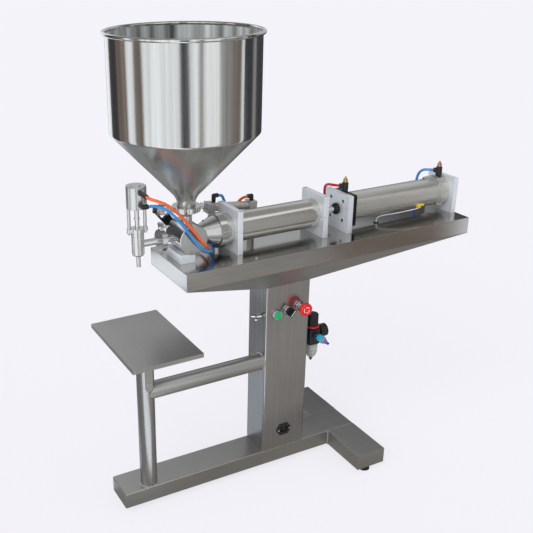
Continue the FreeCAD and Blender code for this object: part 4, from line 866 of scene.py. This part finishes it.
def tickTree(look):
    # short bars on an arc of points, every fifth one longer
    length, width, thickness = look["tickSize"]
    tree, given = newGroup("dialTicks", [
        ("Count", "Int", look["ticks"]), ("Radius", "Float", look["tickOuter"]), ("Length", "Float", length),
        ("Finish", "Material", None)])
    arc = addNode(tree, "GeometryNodeCurveArc", {
        "Resolution": given["Count"], "Radius": given["Radius"],
        "Start Angle": math.radians(look["start"] - look["sweep"]),
        "Sweep Angle": math.radians(look["sweep"])}, mode="RADIUS")
    size = addNode(tree, "ShaderNodeCombineXYZ", {"X": given["Length"], "Y": width, "Z": thickness})
    bar = addNode(tree, "GeometryNodeMeshCube", {"Size": size.outputs["Vector"]})
    number = addNode(tree, "GeometryNodeInputIndex")
    rest = addNode(tree, "ShaderNodeMath", {0: number.outputs["Index"], 1: look["longEvery"]},
                   operation="MODULO")
    chosen = addNode(tree, "ShaderNodeMath", {0: rest.outputs[0], 1: 0.5}, operation="LESS_THAN")
    grow = addNode(tree, "ShaderNodeMath", {0: chosen.outputs[0], 1: look["longShare"], 2: 1.0},
                   operation="MULTIPLY_ADD")
    stretch = addNode(tree, "ShaderNodeCombineXYZ", {"X": grow.outputs[0], "Y": grow.outputs[0], "Z": 1.0})
    place = addNode(tree, "GeometryNodeInstanceOnPoints", {
        "Points": arc.outputs["Curve"], "Instance": bar.outputs["Mesh"], "Rotation": alongCurve(tree, "Y"),
        "Scale": stretch.outputs["Vector"]})
    endGroup(tree, place.outputs["Instances"], given["Finish"])
    return tree


def onDial(data, look):
    # lays a flat mesh drawn in XY on the dial
    x, y, z = (c / 1000 for c in look["centre"])
    for vert in data.vertices:
        u, v, w = vert.co
        vert.co = (x + look["lift"] + w, y + u, z + v)


def numberMesh(look):
    work = bmesh.new()
    for k, number in enumerate(look["numbers"]):
        angle = math.radians(look["start"] - look["sweep"] * k / (len(look["numbers"]) - 1))
        text = bpy.data.curves.new("dialNumber", "FONT")
        text.body = str(number)
        text.size = look["numberSize"]
        text.align_x, text.align_y = "CENTER", "CENTER"
        text.extrude = look["numberThickness"]
        carrier = addObject("dialNumber", text)
        flat = plainMesh(carrier)
        flat.transform(Matrix.Translation((look["numberRadius"] * math.cos(angle),
                                           look["numberRadius"] * math.sin(angle), 0)))
        work.from_mesh(flat)
        bpy.data.objects.remove(carrier)
        bpy.data.meshes.remove(flat)
    return work


def makeDisc(look, part, name, finish):
    work = bmesh.new()
    lathe(work, look[part], look["centre"], "X", look["sides"])
    finishMesh(work, name, [finish], "stand", look["sharpAngle"])


def makeDial(look):
    makeDisc(look, "face", "dial_face", "dialFace")
    source = addObject("tickSource", bpy.data.meshes.new("tickSource"))
    values = {"Count": look["ticks"], "Radius": look["tickOuter"], "Length": look["tickSize"][0],
              "Finish": finishes["blackPlastic"]}
    ticks = throughTree(source, tickTree(look), values, "dial_ticks", "stand")
    onDial(ticks.data, look)
    numbers = finishMesh(numberMesh(look), "dial_numbers", ["blackPlastic"], "stand")
    onDial(numbers.data, look)
    makeDisc(look, "glass", "dial_glass", "clearGlass")


makeStopHead(stopLook)
makeSelectorMark(selectorLook)
makeGaskets(gasketLook)
makeBowl(bowlLook)
makeDial(dialLook)
print("small pieces made")


# studio: suns, page and floor, and plain boards that only the metal shows

studioLook = {
    "page": (0.913, 0.905, 0.956),
    "floorColour": (0.955, 0.95, 1.0),
    "floorGlow": 0.80,
    "floorCorners": [(-40, -40, 0), (40, -40, 0), (40, 60, 0), (-40, 60, 0)],
    "ambient": 0.50,
    "ambientColour": (0.95, 0.96, 1.0),
    "suns": {"keySun": {"strength": 1.75, "from": (-1.3, -0.78, 1.15), "angle": 50},
             "fillSun": {"strength": 0.55, "from": (1.2, -0.8, 0.9), "angle": 70}},
    "tones": {"dark": (0.055, 0.055, 0.062), "umber": (0.20, 0.155, 0.13), "brown": (0.22, 0.185, 0.16),
              "middle": (0.33, 0.33, 0.33), "light": (1.08, 1.13, 1.17), "mat": (0.37, 0.355, 0.34),
              "ceiling": (0.42, 0.42, 0.42), "window": (1.25, 1.36, 1.46), "under": (0.25, 0.24, 0.225),
              "shade": (0.235, 0.245, 0.265), "sky": (0.57, 0.59, 0.61), "side": (0.46, 0.51, 0.57),
              "dim": (0.29, 0.285, 0.27)},
    # level boards: x from and to, y from and to, height, tone
    "level": {"matFront": (-2.6, 2.6, -3.2, -0.30, 0.004, "mat"),
              # darker card under the machine: painted shade that stands in for the floor's shadow in the
              # reflections
              "matUnderPaintedShade": (-2.6, 2.6, -0.30, 0.45, 0.004, "under"),
              "matBack": (-0.9, 2.6, 0.45, 3.0, 0.004, "shade"),
              "matBackLeft": (-2.6, -0.9, 0.45, 1.3, 0.004, "shade"),
              "sideFloor": (-0.75, -0.13, 0.07, 0.55, 0.006, "side"),
              "windowFloor": (-2.6, -0.9, 1.3, 3.0, 0.004, "window"),
              "ceilingFront": (-2.6, 2.6, -3.0, -1.75, 2.9, "ceiling"),
              "ceilingLamp": (-2.6, 2.6, -1.75, -0.75, 2.9, "light"),
              "ceilingBack": (-2.6, 2.6, -0.75, 3.0, 2.9, "dim")},
    "windowLeft": [(-0.42, -0.20, 0.008), (-2.4, -0.75, 0.008), (-2.4, -2.6, 0.008), (-0.25, -0.45, 0.008)],
    # upright boards round the hopper: start and end in degrees from the camera, tone, foot, top
    "boardRadius": 2.0,
    "boards": [(-180, -160, "dark", 0.02, 1.2), (-160, -134, "light", 0.02, 2.5),
               (-134, -110, "dark", 0.02, 2.5), (-110, -88, "umber", 0.02, 2.5),
               (-88, -74, "light", 0.02, 2.5), (-74, -60, "brown", 0.02, 2.5),
               (-60, -6, "light", 0.02, 2.5), (-6, 7, "dark", 0.02, 2.5), (7, 20, "light", 0.02, 2.5),
               (20, 26, "brown", 0.02, 2.5), (26, 49, "light", 0.02, 2.5), (49, 70, "middle", 0.02, 2.5),
               (70, 87, "brown", 0.02, 2.5), (87, 92, "light", 0.02, 2.5), (92, 113, "dark", 0.02, 2.5),
               (113, 122, "middle", 0.02, 2.5), (122, 180, "dark", 0.02, 1.2),
               (122, 180, "sky", 1.2, 2.5), (-180, -160, "sky", 1.2, 2.5)],
}


def addSun(name, look):
    data = bpy.data.lights.new(name, "SUN")
    data.energy = look["strength"]
    data.angle = math.radians(look["angle"])
    obj = addObject(name, data)
    obj.rotation_mode = "QUATERNION"
    obj.rotation_quaternion = Vector(look["from"]).to_track_quat("Z", "Y")
    obj.visible_glossy = False          # metal shows the boards and the page instead of the lamps


def makeWorld(look):
    # the camera, reflections and clear pieces see the page, all else the ambient light
    world = bpy.data.worlds.new("studio")
    scene.world = world
    tree, surface = clearTree(world, "ShaderNodeOutputWorld")
    path = addNode(tree, "ShaderNodeLightPath")
    seen = path.outputs["Is Camera Ray"]
    for ray in ("Is Glossy Ray", "Is Transmission Ray"):
        either = addNode(tree, "ShaderNodeMath", {0: seen, 1: path.outputs[ray]}, operation="MAXIMUM")
        seen = either.outputs[0]
    page = addNode(tree, "ShaderNodeBackground", {"Color": (*look["page"], 1), "Strength": 1.0})
    soft = addNode(tree, "ShaderNodeBackground", {
        "Color": (*look["ambientColour"], 1), "Strength": look["ambient"]})
    mixed = addNode(tree, "ShaderNodeMixShader", {"Fac": seen, 1: soft.outputs[0], 2: page.outputs[0]})
    tree.links.new(mixed.outputs[0], surface)


def glowing(name, colour):
    material = bpy.data.materials.new(name)
    tree, surface = clearTree(material, "ShaderNodeOutputMaterial")
    tree.links.new(addNode(tree, "ShaderNodeEmission", {"Color": (*colour, 1)}).outputs[0], surface)
    return material


def paleFloor(look):
    # mostly the page's own tone, with a faint shadow of the machine
    material = bpy.data.materials.new("paleFloor")
    tree, surface = clearTree(material, "ShaderNodeOutputMaterial")
    plain = addNode(tree, "ShaderNodeBsdfDiffuse", {"Color": (*look["floorColour"], 1)})
    glow = addNode(tree, "ShaderNodeEmission", {"Color": (*look["page"], 1)})
    mixed = addNode(tree, "ShaderNodeMixShader", {
        "Fac": look["floorGlow"], 1: plain.outputs[0], 2: glow.outputs[0]})
    tree.links.new(mixed.outputs[0], surface)
    return material


def flatCard(name, corners, material, onlyReflected=True):
    data = bpy.data.meshes.new(name)
    data.from_pydata([Vector(c) for c in corners], [], [(0, 1, 2, 3)])
    data.materials.append(material)
    obj = addObject(name, data)
    if onlyReflected:
        obj.visible_camera = False
        obj.visible_diffuse = False
        obj.visible_shadow = False
        obj.visible_transmission = False


def makeBoards(look):
    tones = {name: glowing(name + "Board", colour) for name, colour in look["tones"].items()}
    for name, (x0, x1, y0, y1, z, tone) in look["level"].items():
        flatCard(name, [(x0, y0, z), (x1, y0, z), (x1, y1, z), (x0, y1, z)], tones[tone])
    flatCard("windowLeft", look["windowLeft"], tones["window"])
    x0, y0 = hopperLook["centre"]
    eyeX, eyeY = cameraLook["place"][:2]
    towardsCamera = math.degrees(math.atan2(eyeY - y0, eyeX - x0))
    for number, (start, end, tone, foot, top) in enumerate(look["boards"]):
        corners = []
        for degrees, z in ((start, foot), (end, foot), (end, top), (start, top)):
            angle = math.radians(towardsCamera + degrees)
            corners.append((x0 + look["boardRadius"] * math.cos(angle),
                            y0 + look["boardRadius"] * math.sin(angle), z))
        flatCard(f"board{number}", corners, tones[tone])


for name, look in studioLook["suns"].items():
    addSun(name, look)
makeWorld(studioLook)
flatCard("floor", studioLook["floorCorners"], paleFloor(studioLook), False)
makeBoards(studioLook)
print("studio set")

scene.view_settings.view_transform = "Standard"
